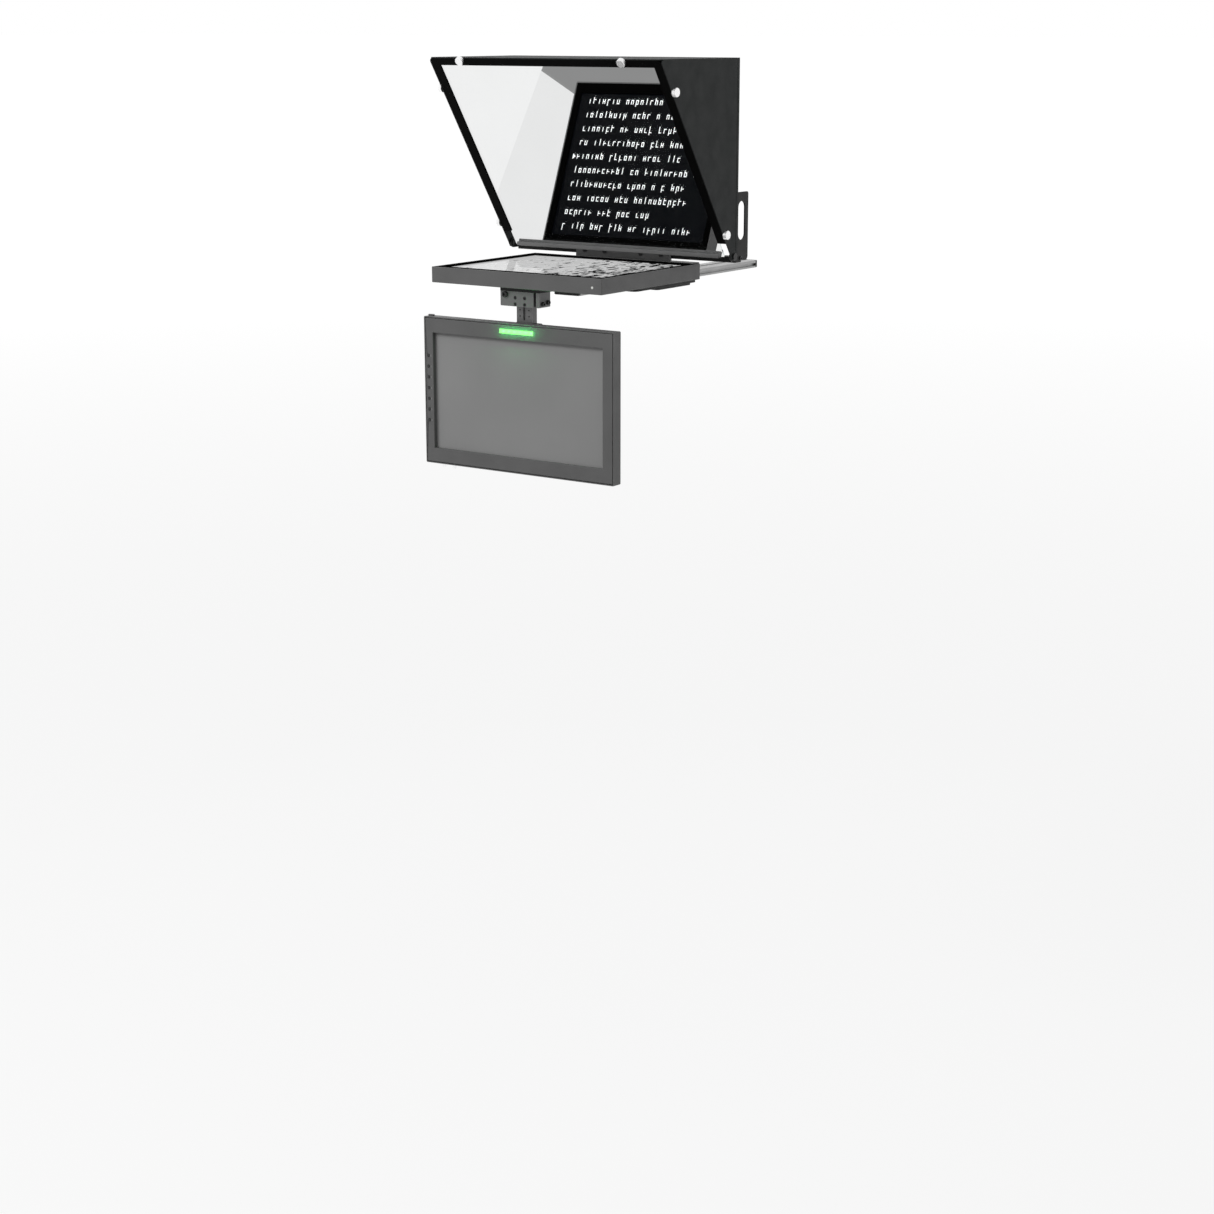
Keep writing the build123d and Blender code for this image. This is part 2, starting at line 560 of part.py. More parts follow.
with BuildPart() as hanger_block:
    block((-HANGER_HALF, HANGER_FRONT, HANGER_LOW), (HANGER_HALF, HANGER_BACK, HANGER_TOP))
    chamfer(hanger_block.edges().filter_by(Axis.Y).group_by(Axis.Z)[0], 2)
    fillet(hanger_block.edges().filter_by(Axis.Z), 1.5)
    low = (-COLUMN_HALF - SLIDE, COLUMN_FRONT - SLIDE, HANGER_LOW)
    block(low, (COLUMN_HALF + SLIDE, COLUMN_BACK + SLIDE, HANGER_TOP), mode=Mode.SUBTRACT)
    low = (FRONT_SLOT[0], HANGER_FRONT, HANGER_LOW)
    block(low, (FRONT_SLOT[1], HANGER_FRONT + 10, HANGER_TOP), mode=Mode.SUBTRACT)
    x, z = FRONT_KNOB
    rod(M5 + HOLE_EASE, (x, HANGER_FRONT, z), (x, HANGER_FRONT + 20, z), mode=Mode.SUBTRACT)
    for x, z in FRONT_SCREWS:
        rod(M4 + HOLE_EASE, (x, HANGER_FRONT, z), (x, HANGER_FRONT + 13, z), mode=Mode.SUBTRACT)
        rod(3.8, (x, HANGER_FRONT, z), (x, HANGER_FRONT + 3, z), mode=Mode.SUBTRACT)
    for y, z in SIDE_SCREWS:
        rod(M5 + HOLE_EASE, (HANGER_HALF - 8, y, z), (HANGER_HALF, y, z), mode=Mode.SUBTRACT)
    for x, y in TONGUE_BOLTS:
        rod(M5 + HOLE_EASE, (x, y, HANGER_TOP - 18), (x, y, HANGER_TOP), mode=Mode.SUBTRACT)
    rod(M6 + RUN, (0, COLUMN_BACK, LOCK_Z), (0, HANGER_BACK, LOCK_Z), mode=Mode.SUBTRACT)
finish(hanger_block, "hanger_block")

with BuildPart() as hanger_screws:
    with Locations(Plane(origin=(FRONT_KNOB[0], HANGER_FRONT, FRONT_KNOB[1]), z_dir=(0, -1, 0))):
        add(cap_screw(M5, 18, 6, 5))
    with Locations(*[Plane(origin=(x, HANGER_FRONT + 3, z), z_dir=(0, -1, 0)) for x, z in FRONT_SCREWS]):
        add(cap_screw(M4, 9, 3.5, 2.8))
    with Locations(*[Plane(origin=(HANGER_HALF, y, z), z_dir=(1, 0, 0)) for y, z in SIDE_SCREWS]):
        add(cap_screw(M5, 7, 4.5, 4))
    with Locations(*[(x, y, PROMPTER_LOW - 4) for x, y in TONGUE_BOLTS]):
        add(cap_screw(M5, 20, 4.5, 3.8))
finish(hanger_screws, "hanger_screws")

with BuildPart() as column_lock_knob:
    with Locations(Plane(origin=(0, HANGER_BACK + 0.6, LOCK_Z), z_dir=(0, 1, 0))):
        add(lobed_knob(12, 15, 6))
    rod(M6, (0, COLUMN_BACK + SLIDE, LOCK_Z), (0, HANGER_BACK + 1, LOCK_Z))
finish(column_lock_knob, "column_lock_knob")

with BuildPart() as talent_column:
    block((-COLUMN_HALF, COLUMN_FRONT, TILT_Z), (COLUMN_HALF, COLUMN_BACK, HANGER_TOP - 0.5))
    rod(TILT_Y - COLUMN_FRONT, (-COLUMN_HALF, TILT_Y, TILT_Z), (COLUMN_HALF, TILT_Y, TILT_Z))
    rod(TILT_R + RUN, (-COLUMN_HALF, TILT_Y, TILT_Z), (COLUMN_HALF, TILT_Y, TILT_Z), mode=Mode.SUBTRACT)
    block((-3, COLUMN_FRONT, -24), (3, COLUMN_FRONT + 3, HANGER_TOP - 4), mode=Mode.SUBTRACT)
    for z in (-16, -4, 8):
        for x in (-11, 11):
            rod(1.6, (x, COLUMN_FRONT, z), (x, COLUMN_FRONT + 6, z), mode=Mode.SUBTRACT)
finish(talent_column, "talent_column")

EAR_IN = COLUMN_HALF + SLIDE
EAR_THICK = 5.0
EAR_LOW = -90.0
EAR_R = 9.0
VESA_PLATE_THICK = 3.0
VESA_PLATE_BACK = TALENT_BACK + VESA_PLATE_THICK
TALENT_VESA = [(x, TALENT_MIDDLE + z) for x in (-HALF_VESA, HALF_VESA) for z in (-HALF_VESA, HALF_VESA)]

with BuildPart() as tilt_bracket:
    with BuildSketch(Plane.XZ.offset(-VESA_PLATE_BACK)):
        with Locations((0, TALENT_MIDDLE)):
            RectangleRounded(VESA + 20, VESA + 20, 6)
            Circle(26, mode=Mode.SUBTRACT)
        patch((-30, TALENT_MIDDLE + 50), (30, TILT_Z - 14))
    extrude(amount=VESA_PLATE_THICK)
    for side in (-1, 1):
        with BuildSketch(Plane.YZ.offset(side * EAR_IN)):
            Polygon(
                (TALENT_BACK, EAR_LOW),
                (VESA_PLATE_BACK, EAR_LOW),
                (TILT_Y + EAR_R, TILT_Z - EAR_R),
                (TILT_Y + EAR_R, TILT_Z),
                (TILT_Y - 8, TILT_Z),
                (TALENT_BACK, TILT_Z - 8),
                align=None,
            )
            with Locations((TILT_Y, TILT_Z)):
                Circle(EAR_R)
                Circle(TILT_R + RUN, mode=Mode.SUBTRACT)
        extrude(amount=side * EAR_THICK)
    for x, z in TALENT_VESA:
        rod(M4 + HOLE_EASE, (x, TALENT_BACK, z), (x, VESA_PLATE_BACK, z), mode=Mode.SUBTRACT)
finish(tilt_bracket, "tilt_bracket")

KNOB_FACE = EAR_IN + EAR_THICK + 0.4

with BuildPart() as tilt_bolt:
    rod(TILT_R, (-EAR_IN - EAR_THICK, TILT_Y, TILT_Z), (KNOB_FACE + 10, TILT_Y, TILT_Z))
    with BuildSketch(Plane.YZ.offset(-EAR_IN - EAR_THICK)):
        with Locations((TILT_Y, TILT_Z)):
            RegularPolygon(7.5, 6)
    extrude(amount=-5)
finish(tilt_bolt, "tilt_bolt")

with BuildPart() as tilt_lock_knob:
    with Locations(Plane(origin=(KNOB_FACE, TILT_Y, TILT_Z), z_dir=(1, 0, 0))):
        add(lobed_knob(9.5, 16, 6))
    rod(TILT_R + RUN, (KNOB_FACE, TILT_Y, TILT_Z), (KNOB_FACE + 10.5, TILT_Y, TILT_Z), mode=Mode.SUBTRACT)
finish(tilt_lock_knob, "tilt_lock_knob")

# ---------------------------------------------------------------- talent monitor
CASE_FRONT = TALENT_FRONT + 0.5
BEZEL_BACK = TALENT_FRONT + BEZEL_THICK
TALENT_INNER = TALENT_HALF - TALENT_WALL
BUTTON_ZS = [TALENT_BUTTON_TOP - i * TALENT_BUTTON_PITCH for i, _ in enumerate(TALENT_BUTTONS)]
BNC_XS = (-196.0, -170.0)
BNC_Y = -486.0
PORT_LEFT = -150.0
PORT_RIGHT = -134.0
PORT_HALF = 3.5

with BuildPart() as talent_case:
    block((-TALENT_HALF, CASE_FRONT, TALENT_LOW), (TALENT_HALF, TALENT_BACK, TALENT_TOP))
    fillet(talent_case.edges().filter_by(Axis.Y), 2.5)
    chamfer(talent_case.faces().sort_by(Axis.Y)[-1].edges(), 1)
    low = (-TALENT_INNER, CASE_FRONT, TALENT_LOW + TALENT_WALL)
    block(low, (TALENT_INNER, TALENT_BACK - TALENT_WALL, TALENT_TOP - TALENT_WALL), mode=Mode.SUBTRACT)
    for x, z in TALENT_VESA:
        rod(5, (x, TALENT_BACK - 6, z), (x, TALENT_BACK - TALENT_WALL, z))
        rod(M4 + HOLE_EASE, (x, TALENT_BACK - 6, z), (x, TALENT_BACK, z), mode=Mode.SUBTRACT)
    floor = TALENT_LOW + TALENT_WALL
    for x in BNC_XS:
        rod(SOCKET_R + FIT, (x, BNC_Y, TALENT_LOW), (x, BNC_Y, floor), mode=Mode.SUBTRACT)
    low = (PORT_LEFT - FIT, BNC_Y - PORT_HALF - FIT, TALENT_LOW)
    block(low, (PORT_RIGHT + FIT, BNC_Y + PORT_HALF + FIT, floor), mode=Mode.SUBTRACT)
    for x in range(-180, 200, 24):
        for z in (-70, -284):
            with Locations((x, TALENT_BACK - TALENT_WALL / 2, z)):
                Box(14, TALENT_WALL + 1, 4, mode=Mode.SUBTRACT)
    with BuildSketch(Plane.XY.offset(TALENT_TOP)):
        with Locations((TALENT_BUTTON_X, (CASE_FRONT + TALENT_BACK) / 2)):
            SlotOverall(14, 8)
    extrude(amount=3)
finish(talent_case, "talent_case")

with BuildPart() as talent_bezel:
    edge = TALENT_INNER - BEZEL_GROOVE
    with BuildSketch(Plane.XZ.offset(-BEZEL_BACK)):
        low = (-edge, TALENT_LOW + TALENT_WALL + BEZEL_GROOVE)
        patch(low, (edge, TALENT_TOP - TALENT_WALL - BEZEL_GROOVE))
    extrude(amount=BEZEL_THICK)
    chamfer(talent_bezel.faces().sort_by(Axis.Y)[0].edges(), 0.5)
    with BuildSketch(Plane.XZ.offset(-BEZEL_BACK)):
        low = (-TALENT_INNER + FIT, TALENT_LOW + TALENT_WALL + FIT)
        patch(low, (TALENT_INNER - FIT, TALENT_TOP - TALENT_WALL - FIT))
    extrude(amount=BEZEL_THICK - 4)
    with BuildSketch(Plane.XZ.offset(-BEZEL_BACK)):
        patch((VIEW_LEFT, VIEW_LOW), (VIEW_RIGHT, VIEW_TOP))
        with Locations((0, TALLY_Z)):
            Rectangle(2 * (TALLY_HALF + FIT), TALLY_HEIGHT + 2 * FIT)
        with Locations(*[(TALENT_BUTTON_X, z) for z in BUTTON_ZS]):
            Circle(BUTTON_R + FIT)
    extrude(amount=BEZEL_THICK, mode=Mode.SUBTRACT)
finish(talent_bezel, "talent_bezel")

with BuildPart() as talent_lcd_panel:
    block((VIEW_LEFT - 4, BEZEL_BACK + FIT, VIEW_LOW - 4), (VIEW_RIGHT + 4, BEZEL_BACK + 2.2, VIEW_TOP + 4))
finish(talent_lcd_panel, "talent_lcd_panel")

with BuildPart() as talent_backlight:
    block((VIEW_LEFT - 6, BEZEL_BACK + 2.4, VIEW_LOW - 6), (VIEW_RIGHT + 6, BEZEL_BACK + 7, VIEW_TOP + 6))
    fillet(talent_backlight.edges().filter_by(Axis.Y), 3)
finish(talent_backlight, "talent_backlight")

with BuildPart() as talent_main_board:
    block((-42, -484.4, -215), (42, -482.8, -139))
    for x, z in ((-25, -160), (15, -165), (-5, -198)):
        with Locations((x, -481.6, z)):
            Box(16, 2.4, 16)
finish(talent_main_board, "talent_main_board")

with BuildPart() as talent_keypad_board:
    block((-228, BEZEL_BACK + 3.8, BUTTON_ZS[-1] - 12), (-217, BEZEL_BACK + 5.4, BUTTON_ZS[0] + 12))
    for z in BUTTON_ZS:
        block((-223.5, BEZEL_BACK + 2.4, z - 2.5), (-218.5, BEZEL_BACK + 3.8, z + 2.5))
finish(talent_keypad_board, "talent_keypad_board")

with BuildPart() as talent_connectors:
    for x in BNC_XS:
        rod(SOCKET_R, (x, BNC_Y, TALENT_LOW - 9), (x, BNC_Y, TALENT_LOW + 10))
        rod(3.3, (x, BNC_Y, TALENT_LOW - 9), (x, BNC_Y, TALENT_LOW - 2), mode=Mode.SUBTRACT)
        rod(0.8, (x, BNC_Y, TALENT_LOW - 7), (x, BNC_Y, TALENT_LOW - 1))
    low = (PORT_LEFT, BNC_Y - PORT_HALF, TALENT_LOW - 0.5)
    block(low, (PORT_RIGHT, BNC_Y + PORT_HALF, TALENT_LOW + 12))
    low = (PORT_LEFT + 1.5, BNC_Y - PORT_HALF + 1.3, TALENT_LOW - 0.5)
    block(low, (PORT_RIGHT - 1.5, BNC_Y + PORT_HALF - 1.3, TALENT_LOW + 8), mode=Mode.SUBTRACT)
finish(talent_connectors, "talent_connectors")

with BuildPart() as talent_tally_lens:
    with Locations((0, TALENT_FRONT - 0.8, TALLY_Z)):
        Box(2 * TALLY_HALF, 6, TALLY_HEIGHT, align=(Align.CENTER, Align.MIN, Align.CENTER))
    fillet(talent_tally_lens.faces().sort_by(Axis.Y)[0].edges(), 0.6)
finish(talent_tally_lens, "talent_tally_lens")

for use, z in zip(TALENT_BUTTONS, BUTTON_ZS):
    with BuildPart() as talent_button:
        seat = (TALENT_BUTTON_X, TALENT_FRONT, z)
        with Locations(Plane(origin=seat, x_dir=(1, 0, 0), z_dir=(0, 1, 0))):
            add(push_button(BUTTON_R, 1.0, BEZEL_THICK + SLIDE))
    finish(talent_button, f"talent_{use}_button")

with BuildPart() as vesa_screws:
    with Locations(*[Plane(origin=(x, VESA_PLATE_BACK, z), z_dir=(0, 1, 0)) for x, z in TALENT_VESA]):
        add(cap_screw(M4, 8, 3.5, 3))
finish(vesa_screws, "vesa_screws")

# ---------------------------------------------------------------- glass and its frame
FRAME_HEAD = (HOOD_TOP - SHEET - GLASS_FOOT[1]) / sin(radians(GLASS_ANGLE))
RABBET_HALF = OPENING_HALF + GLASS_OVERLAP
TOP_FLANGE_LOW = HOOD_TOP - SHEET - 3.0
SCREW_DEPTH = 5.0


def on_glass(x, rise, depth):
    """The point at X = x, rise up the glass line and depth behind the frame's front face."""
    return tuple(GLASS_PLANE.from_local_coords((x, rise, -depth)))


with BuildPart() as glass_frame:
    with BuildSketch(GLASS_PLANE) as frame_outline:
        patch((-FRAME_HALF, FRAME_FOOT), (FRAME_HALF, FRAME_HEAD))
        fillet(frame_outline.vertices().group_by(Axis.Y)[-1], HOOD_CORNER)
        patch((-OPENING_HALF, FRAME_FOOT), (OPENING_HALF, OPENING_RISE), mode=Mode.SUBTRACT)
    extrude(amount=-FRAME_THICK)
    with BuildSketch(GLASS_PLANE.offset(-FRAME_LIP)):
        patch((-RABBET_HALF, FRAME_FOOT), (RABBET_HALF, OPENING_RISE + GLASS_OVERLAP))
    extrude(amount=-FRAME_THICK, mode=Mode.SUBTRACT)
    with BuildSketch(GLASS_PLANE.offset(-FRAME_THICK)):
        for side in (-1, 1):
            flange = sorted((side * (FRAME_HALF - 3), side * FRAME_HALF))
            patch((flange[0], FRAME_FOOT + 5), (flange[1], FRAME_HEAD - 8))
    extrude(amount=-14)
    flange_half = FRAME_HALF - HOOD_CORNER
    low = (-flange_half, glass_line_y(TOP_FLANGE_LOW) + 0.5, TOP_FLANGE_LOW)
    block(low, (flange_half, -385, TOP_FLANGE_LOW + 3))
    split(bisect_by=Plane.XY.offset(HOOD_TOP - SHEET), keep=Keep.BOTTOM)
    for side in (-1, 1):
        for rise in SIDE_THUMB_RISES:
            start = on_glass(side * (HOOD_HALF - SIDE_THUMB_REACH - 1), rise, SCREW_DEPTH)
            end = on_glass(side * FRAME_HALF, rise, SCREW_DEPTH)
            rod(M5 + HOLE_EASE, start, end, mode=Mode.SUBTRACT)
    for x in TOP_THUMB_XS:
        start = on_glass(x, TOP_THUMB_RISE, 0)
        end = on_glass(x, TOP_THUMB_RISE, TOP_THUMB_REACH)
        rod(M4 + HOLE_EASE, start, end, mode=Mode.SUBTRACT)
finish(glass_frame, "glass_frame")

with BuildPart() as beam_splitter_glass:
    with BuildSketch(GLASS_PLANE.offset(-FRAME_LIP - 0.1)):
        head = OPENING_RISE + GLASS_OVERLAP - FIT
        patch((-RABBET_HALF + FIT, GLASS_FOOT_RISE), (RABBET_HALF - FIT, head))
    extrude(amount=-GLASS_THICK)
finish(beam_splitter_glass, "beam_splitter_glass")

with BuildPart() as glass_retainer:
    with BuildSketch(GLASS_PLANE.offset(-FRAME_LIP - GLASS_THICK - FIT)):
        head = OPENING_RISE + GLASS_OVERLAP - FIT
        patch((-RABBET_HALF + FIT, FRAME_FOOT), (RABBET_HALF - FIT, head))
        inner = OPENING_HALF - 1.5
        patch((-inner, FRAME_FOOT), (inner, OPENING_RISE - 1.5), mode=Mode.SUBTRACT)
    extrude(amount=-2.8)
finish(glass_retainer, "glass_retainer")

with BuildPart() as glass_channel:
    block((-CHANNEL_HALF, CHANNEL_FRONT, CHANNEL_LOW), (CHANNEL_HALF, CHANNEL_BACK, CHANNEL_TOP))
    fillet(glass_channel.edges().filter_by(Axis.X).group_by(Axis.Y)[0], 1)
    with BuildSketch(GLASS_PLANE.offset(-FRAME_THICK)):
        for side in (-1, 1):
            leg = sorted((side * (CHANNEL_HALF - 8), side * CHANNEL_HALF))
            patch((leg[0], GLASS_FOOT_RISE - 3), (leg[1], FRAME_FOOT + 18))
            foot = sorted((side * (CHANNEL_HALF - 8), side * (FRAME_HALF - 5)))
            patch((foot[0], FRAME_FOOT + 6), (foot[1], FRAME_FOOT + 18))
    extrude(amount=-3)
    with BuildSketch(GLASS_PLANE.offset(-FRAME_LIP + 0.1)):
        patch((-OPENING_HALF, GLASS_FOOT_RISE - 0.3), (OPENING_HALF, 12))
    extrude(amount=-GLASS_THICK - 0.4, mode=Mode.SUBTRACT)
finish(glass_channel, "glass_channel")


# ---------------------------------------------------------------- hood panels
HEM = 7.0  # from the rear edge to the pressed line in a side panel
HEM_LOW = 100.0
PANEL_TIP_Y = -149.5


def hood_side(side):
    """A sheet side panel, bent in at its rear edge, with a bore for the pivot pin."""
    with BuildPart() as panel:
        with BuildSketch(Plane.YZ.offset(side * (HOOD_HALF - SHEET))) as outline:
            Polygon(
                (glass_line_y(HOOD_TOP - SHEET), HOOD_TOP - SHEET),
                (HOOD_BACK, HOOD_TOP - SHEET),
                (HOOD_BACK, HOOD_LOW + 5),
                (PANEL_TIP_Y, HOOD_LOW),
                (glass_line_y(92), 92),
                align=None,
            )
            fillet(outline.vertices().sort_by(Axis.X)[0], 5)
            with Locations((PIVOT_Y, PIVOT_Z)):
                Circle(PIVOT_R + 1.5 * RUN, mode=Mode.SUBTRACT)
        extrude(amount=side * SHEET)
        flange = sorted((side * 258, side * (HOOD_HALF - SHEET)))
        block(
            (flange[0], HOOD_BACK - 2 * SHEET, REAR_NOTCH_TOP + 4),
            (flange[1], HOOD_BACK - SHEET, HOOD_TOP - 2 * SHEET),
        )
        for rise in SIDE_THUMB_RISES:
            start = on_glass(side * (HOOD_HALF - SHEET), rise, SCREW_DEPTH)
            rod(M5 + FIT, start, on_glass(side * HOOD_HALF, rise, SCREW_DEPTH), mode=Mode.SUBTRACT)
        hem = sorted((side * (HOOD_HALF - 0.6), side * (HOOD_HALF + 1)))
        low = (hem[0], HOOD_BACK - HEM - 1.6, HEM_LOW)
        block(low, (hem[1], HOOD_BACK - HEM, HOOD_TOP - SHEET), mode=Mode.SUBTRACT)
    return panel


hood_side_left = hood_side(-1)
finish(hood_side_left, "hood_side_left")
hood_side_right = hood_side(1)
finish(hood_side_right, "hood_side_right")

with BuildPart() as hood_top_panel:
    with BuildSketch(Plane.XY.offset(HOOD_TOP - SHEET)) as top_outline:
        patch((-HOOD_HALF, glass_line_y(HOOD_TOP - SHEET)), (HOOD_HALF, HOOD_BACK))
        fillet(top_outline.vertices().group_by(Axis.Y)[0], HOOD_CORNER)
    extrude(amount=SHEET)
finish(hood_top_panel, "hood_top_panel")

with BuildPart() as hood_rear_panel:
    with BuildSketch(Plane.XZ.offset(-HOOD_BACK)):
        patch((-FRAME_HALF + FIT, REAR_NOTCH_TOP), (FRAME_HALF - FIT, HOOD_TOP - SHEET))
        patch((-REAR_NOTCH_HALF, REAR_PANEL_LOW), (REAR_NOTCH_HALF, REAR_NOTCH_TOP))
        with Locations((0, LENS_Z)):
            RectangleRounded(*LENS_WINDOW, 24, mode=Mode.SUBTRACT)
    extrude(amount=SHEET)
finish(hood_rear_panel, "hood_rear_panel")


def shroud_solid(inset):
    """The lens shroud's tapering sleeve as one closed solid, drawn in by inset."""
    width, height = LENS_WINDOW
    with BuildPart(mode=Mode.PRIVATE) as sleeve:
        with BuildSketch(Plane.XZ.offset(-SHROUD_BACK)):
            with Locations((0, LENS_Z)):
                mouth = SHROUD_MOUTH - 2 * inset
                RectangleRounded(mouth, mouth, SHROUD_MOUTH * 0.42)
        with BuildSketch(Plane.XZ.offset(-HOOD_BACK)):
            with Locations((0, LENS_Z)):
                RectangleRounded(width + 24 - 2 * inset, height + 24 - 2 * inset, 30)
        loft()
    return sleeve.part


with BuildPart() as lens_shroud:
    add(shroud_solid(0))
    add(shroud_solid(SHROUD_THICK), mode=Mode.SUBTRACT)
finish(lens_shroud, "lens_shroud")

with BuildPart() as hood_thumb_screws:
    for x in TOP_THUMB_XS:
        seat = on_glass(x, TOP_THUMB_RISE, 0)
        with Locations(Plane(origin=seat, z_dir=GLASS_PLANE.z_dir)):
            add(thumb_screw(M4, TOP_THUMB_REACH - FIT))
    for side in (-1, 1):
        for rise in SIDE_THUMB_RISES:
            seat = on_glass(side * HOOD_HALF, rise, SCREW_DEPTH)
            with Locations(Plane(origin=seat, z_dir=(side, 0, 0))):
                add(thumb_screw(M5, SIDE_THUMB_REACH))
finish(hood_thumb_screws, "hood_thumb_screws")

# ---------------------------------------------------------------- camera plate
CAMERA_LOW = RAIL_TOP + 0.3
THREAD_FOOT = CAMERA_TOP + 0.3
JAW_IN = RAIL_WIDTH / 2 + 0.4
PLATE_LOCK_Z = (GROOVE_TOP + RAIL_TOP) / 2

with BuildPart() as camera_plate:
    block((-CAMERA_HALF, CAMERA_FRONT, CAMERA_LOW), (CAMERA_HALF, CAMERA_BACK, CAMERA_TOP))
    for side in (-1, 1):
        jaw = sorted((side * JAW_IN, side * CAMERA_HALF))
        block((jaw[0], CAMERA_FRONT, GROOVE_LOW + 0.6), (jaw[1], CAMERA_BACK, CAMERA_LOW))
        lip = sorted((side * (RAIL_WIDTH / 2 - GROOVE_DEPTH + 0.6), side * JAW_IN))
        block((lip[0], CAMERA_FRONT, GROOVE_LOW + 0.6), (lip[1], CAMERA_BACK, GROOVE_TOP - 0.4))
    chamfer(camera_plate.faces().sort_by(Axis.Z)[-1].edges(), 1.5)
    foot = (0, CAMERA_MIDDLE, CAMERA_LOW)
    rod(CAMERA_SHANK_R + RUN, foot, (0, CAMERA_MIDDLE, CAMERA_TOP), mode=Mode.SUBTRACT)
    rod(9, foot, (0, CAMERA_MIDDLE, CAMERA_LOW + 7), mode=Mode.SUBTRACT)
    start = (JAW_IN, CAMERA_MIDDLE, PLATE_LOCK_Z)
    rod(M6 + RUN, start, (CAMERA_HALF, CAMERA_MIDDLE, PLATE_LOCK_Z), mode=Mode.SUBTRACT)
finish(camera_plate, "camera_plate")

with BuildPart() as camera_screw:
    rod(8, (0, CAMERA_MIDDLE, CAMERA_LOW + 0.7), (0, CAMERA_MIDDLE, CAMERA_LOW + 6.5))
    rod(CAMERA_SHANK_R, (0, CAMERA_MIDDLE, CAMERA_LOW + 6), (0, CAMERA_MIDDLE, THREAD_FOOT))
    thread = (0, CAMERA_MIDDLE, THREAD_FOOT)
    rod(CAMERA_SCREW_R, thread, (0, CAMERA_MIDDLE, THREAD_FOOT + CAMERA_SCREW_OUT))
    low = (-8, CAMERA_MIDDLE - 1, CAMERA_LOW + 0.7)
    block(low, (8, CAMERA_MIDDLE + 1, CAMERA_LOW + 2.4), mode=Mode.SUBTRACT)
finish(camera_screw, "camera_screw")

with BuildPart() as camera_plate_lock_knob:
    with Locations(Plane(origin=(CAMERA_HALF + 0.6, CAMERA_MIDDLE, PLATE_LOCK_Z), z_dir=(1, 0, 0))):
        add(lobed_knob(12, 15, 6))
    rod(M6, (JAW_IN - 0.2, CAMERA_MIDDLE, PLATE_LOCK_Z), (CAMERA_HALF + 1, CAMERA_MIDDLE, PLATE_LOCK_Z))
finish(camera_plate_lock_knob, "camera_plate_lock_knob")

# ---------------------------------------------------------------- screws of the base
with BuildPart() as base_screws:
    with Locations(Plane(origin=(0, 0, 6.6), z_dir=(0, 0, -1))):
        with GridLocations(*RAIL_BOLTS, 2, 2):
            add(cap_screw(M6, 14, 5, 6))
    for x in RISER_BOLTS_X:
        with Locations(Plane(origin=(x, RISER_Y, BEAM_MIDDLE_Z), z_dir=(0, -1, 0))):
            add(cap_screw(M5, 11, 4.2, 2.8))
    with Locations(*[(x, y, RAIL_TOP + RISER_THICK) for x, y in RISER_FOOT_BOLTS]):
        add(cap_screw(M5, 12, 4.2, 4))
    for side in (-1, 1):
        seat = (side * (ARM_IN + ARM_THICK), *ARM_BOLT)
        with Locations(Plane(origin=seat, z_dir=(side, 0, 0))):
            add(cap_screw(M5, 14, 4.2, 2.8))
finish(base_screws, "base_screws")
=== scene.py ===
"""The looks of a studio teleprompter head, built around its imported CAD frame.

Metres, +Z up. The talent stands at -Y, the camera operator at +Y. CAD nodes keep their shape:
they get materials and softened edges. The lens shroud, the picture on the prompter's screen
and the printed marks are built here.
"""

import math
import random

import bmesh
import bpy
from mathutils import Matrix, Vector, noise


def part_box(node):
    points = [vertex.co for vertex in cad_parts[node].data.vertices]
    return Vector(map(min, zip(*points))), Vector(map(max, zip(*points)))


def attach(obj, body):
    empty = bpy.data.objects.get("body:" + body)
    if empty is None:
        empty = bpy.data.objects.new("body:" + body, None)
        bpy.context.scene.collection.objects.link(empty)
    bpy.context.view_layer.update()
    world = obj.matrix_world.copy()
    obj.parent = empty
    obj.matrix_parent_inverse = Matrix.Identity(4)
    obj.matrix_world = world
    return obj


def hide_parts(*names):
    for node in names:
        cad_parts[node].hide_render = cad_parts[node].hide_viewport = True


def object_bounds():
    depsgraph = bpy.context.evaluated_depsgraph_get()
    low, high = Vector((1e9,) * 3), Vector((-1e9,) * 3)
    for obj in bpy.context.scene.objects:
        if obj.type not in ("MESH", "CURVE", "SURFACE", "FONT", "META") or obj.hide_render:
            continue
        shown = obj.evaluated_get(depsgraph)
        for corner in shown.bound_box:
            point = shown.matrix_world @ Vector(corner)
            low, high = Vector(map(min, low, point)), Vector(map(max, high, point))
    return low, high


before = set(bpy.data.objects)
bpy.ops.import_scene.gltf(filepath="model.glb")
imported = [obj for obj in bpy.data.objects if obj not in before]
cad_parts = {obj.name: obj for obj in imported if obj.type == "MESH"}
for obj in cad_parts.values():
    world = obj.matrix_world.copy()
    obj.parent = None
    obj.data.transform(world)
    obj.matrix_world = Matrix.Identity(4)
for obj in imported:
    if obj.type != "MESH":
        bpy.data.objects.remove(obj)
cad_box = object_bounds()

MM = 0.001
GLASS_TILT = math.radians(56)  # of the beam splitter, from the horizontal
GLASS_FRONT = Vector((0, -math.sin(GLASS_TILT), -math.cos(GLASS_TILT)))
REFLECTION_TURN = math.radians(-0.75)  # tuned: it turns the reflection only, not the glass


# ---------------------------------------------------------------- shader building blocks
def new_tree(name):
    """An empty node material, and the tree to fill."""
    material = bpy.data.materials.new(name)
    material.use_nodes = True
    material.node_tree.nodes.clear()
    return material, material.node_tree


def node(tree, kind, inputs=None, **settings):
    """Adds a shader node. Each input is a value, or the output socket that feeds it."""
    made = tree.nodes.new("ShaderNode" + kind)
    for key, value in settings.items():
        setattr(made, key, value)
    for key, value in (inputs or {}).items():
        if isinstance(value, bpy.types.NodeSocket):
            tree.links.new(value, made.inputs[key])
        else:
            made.inputs[key].default_value = value
    return made


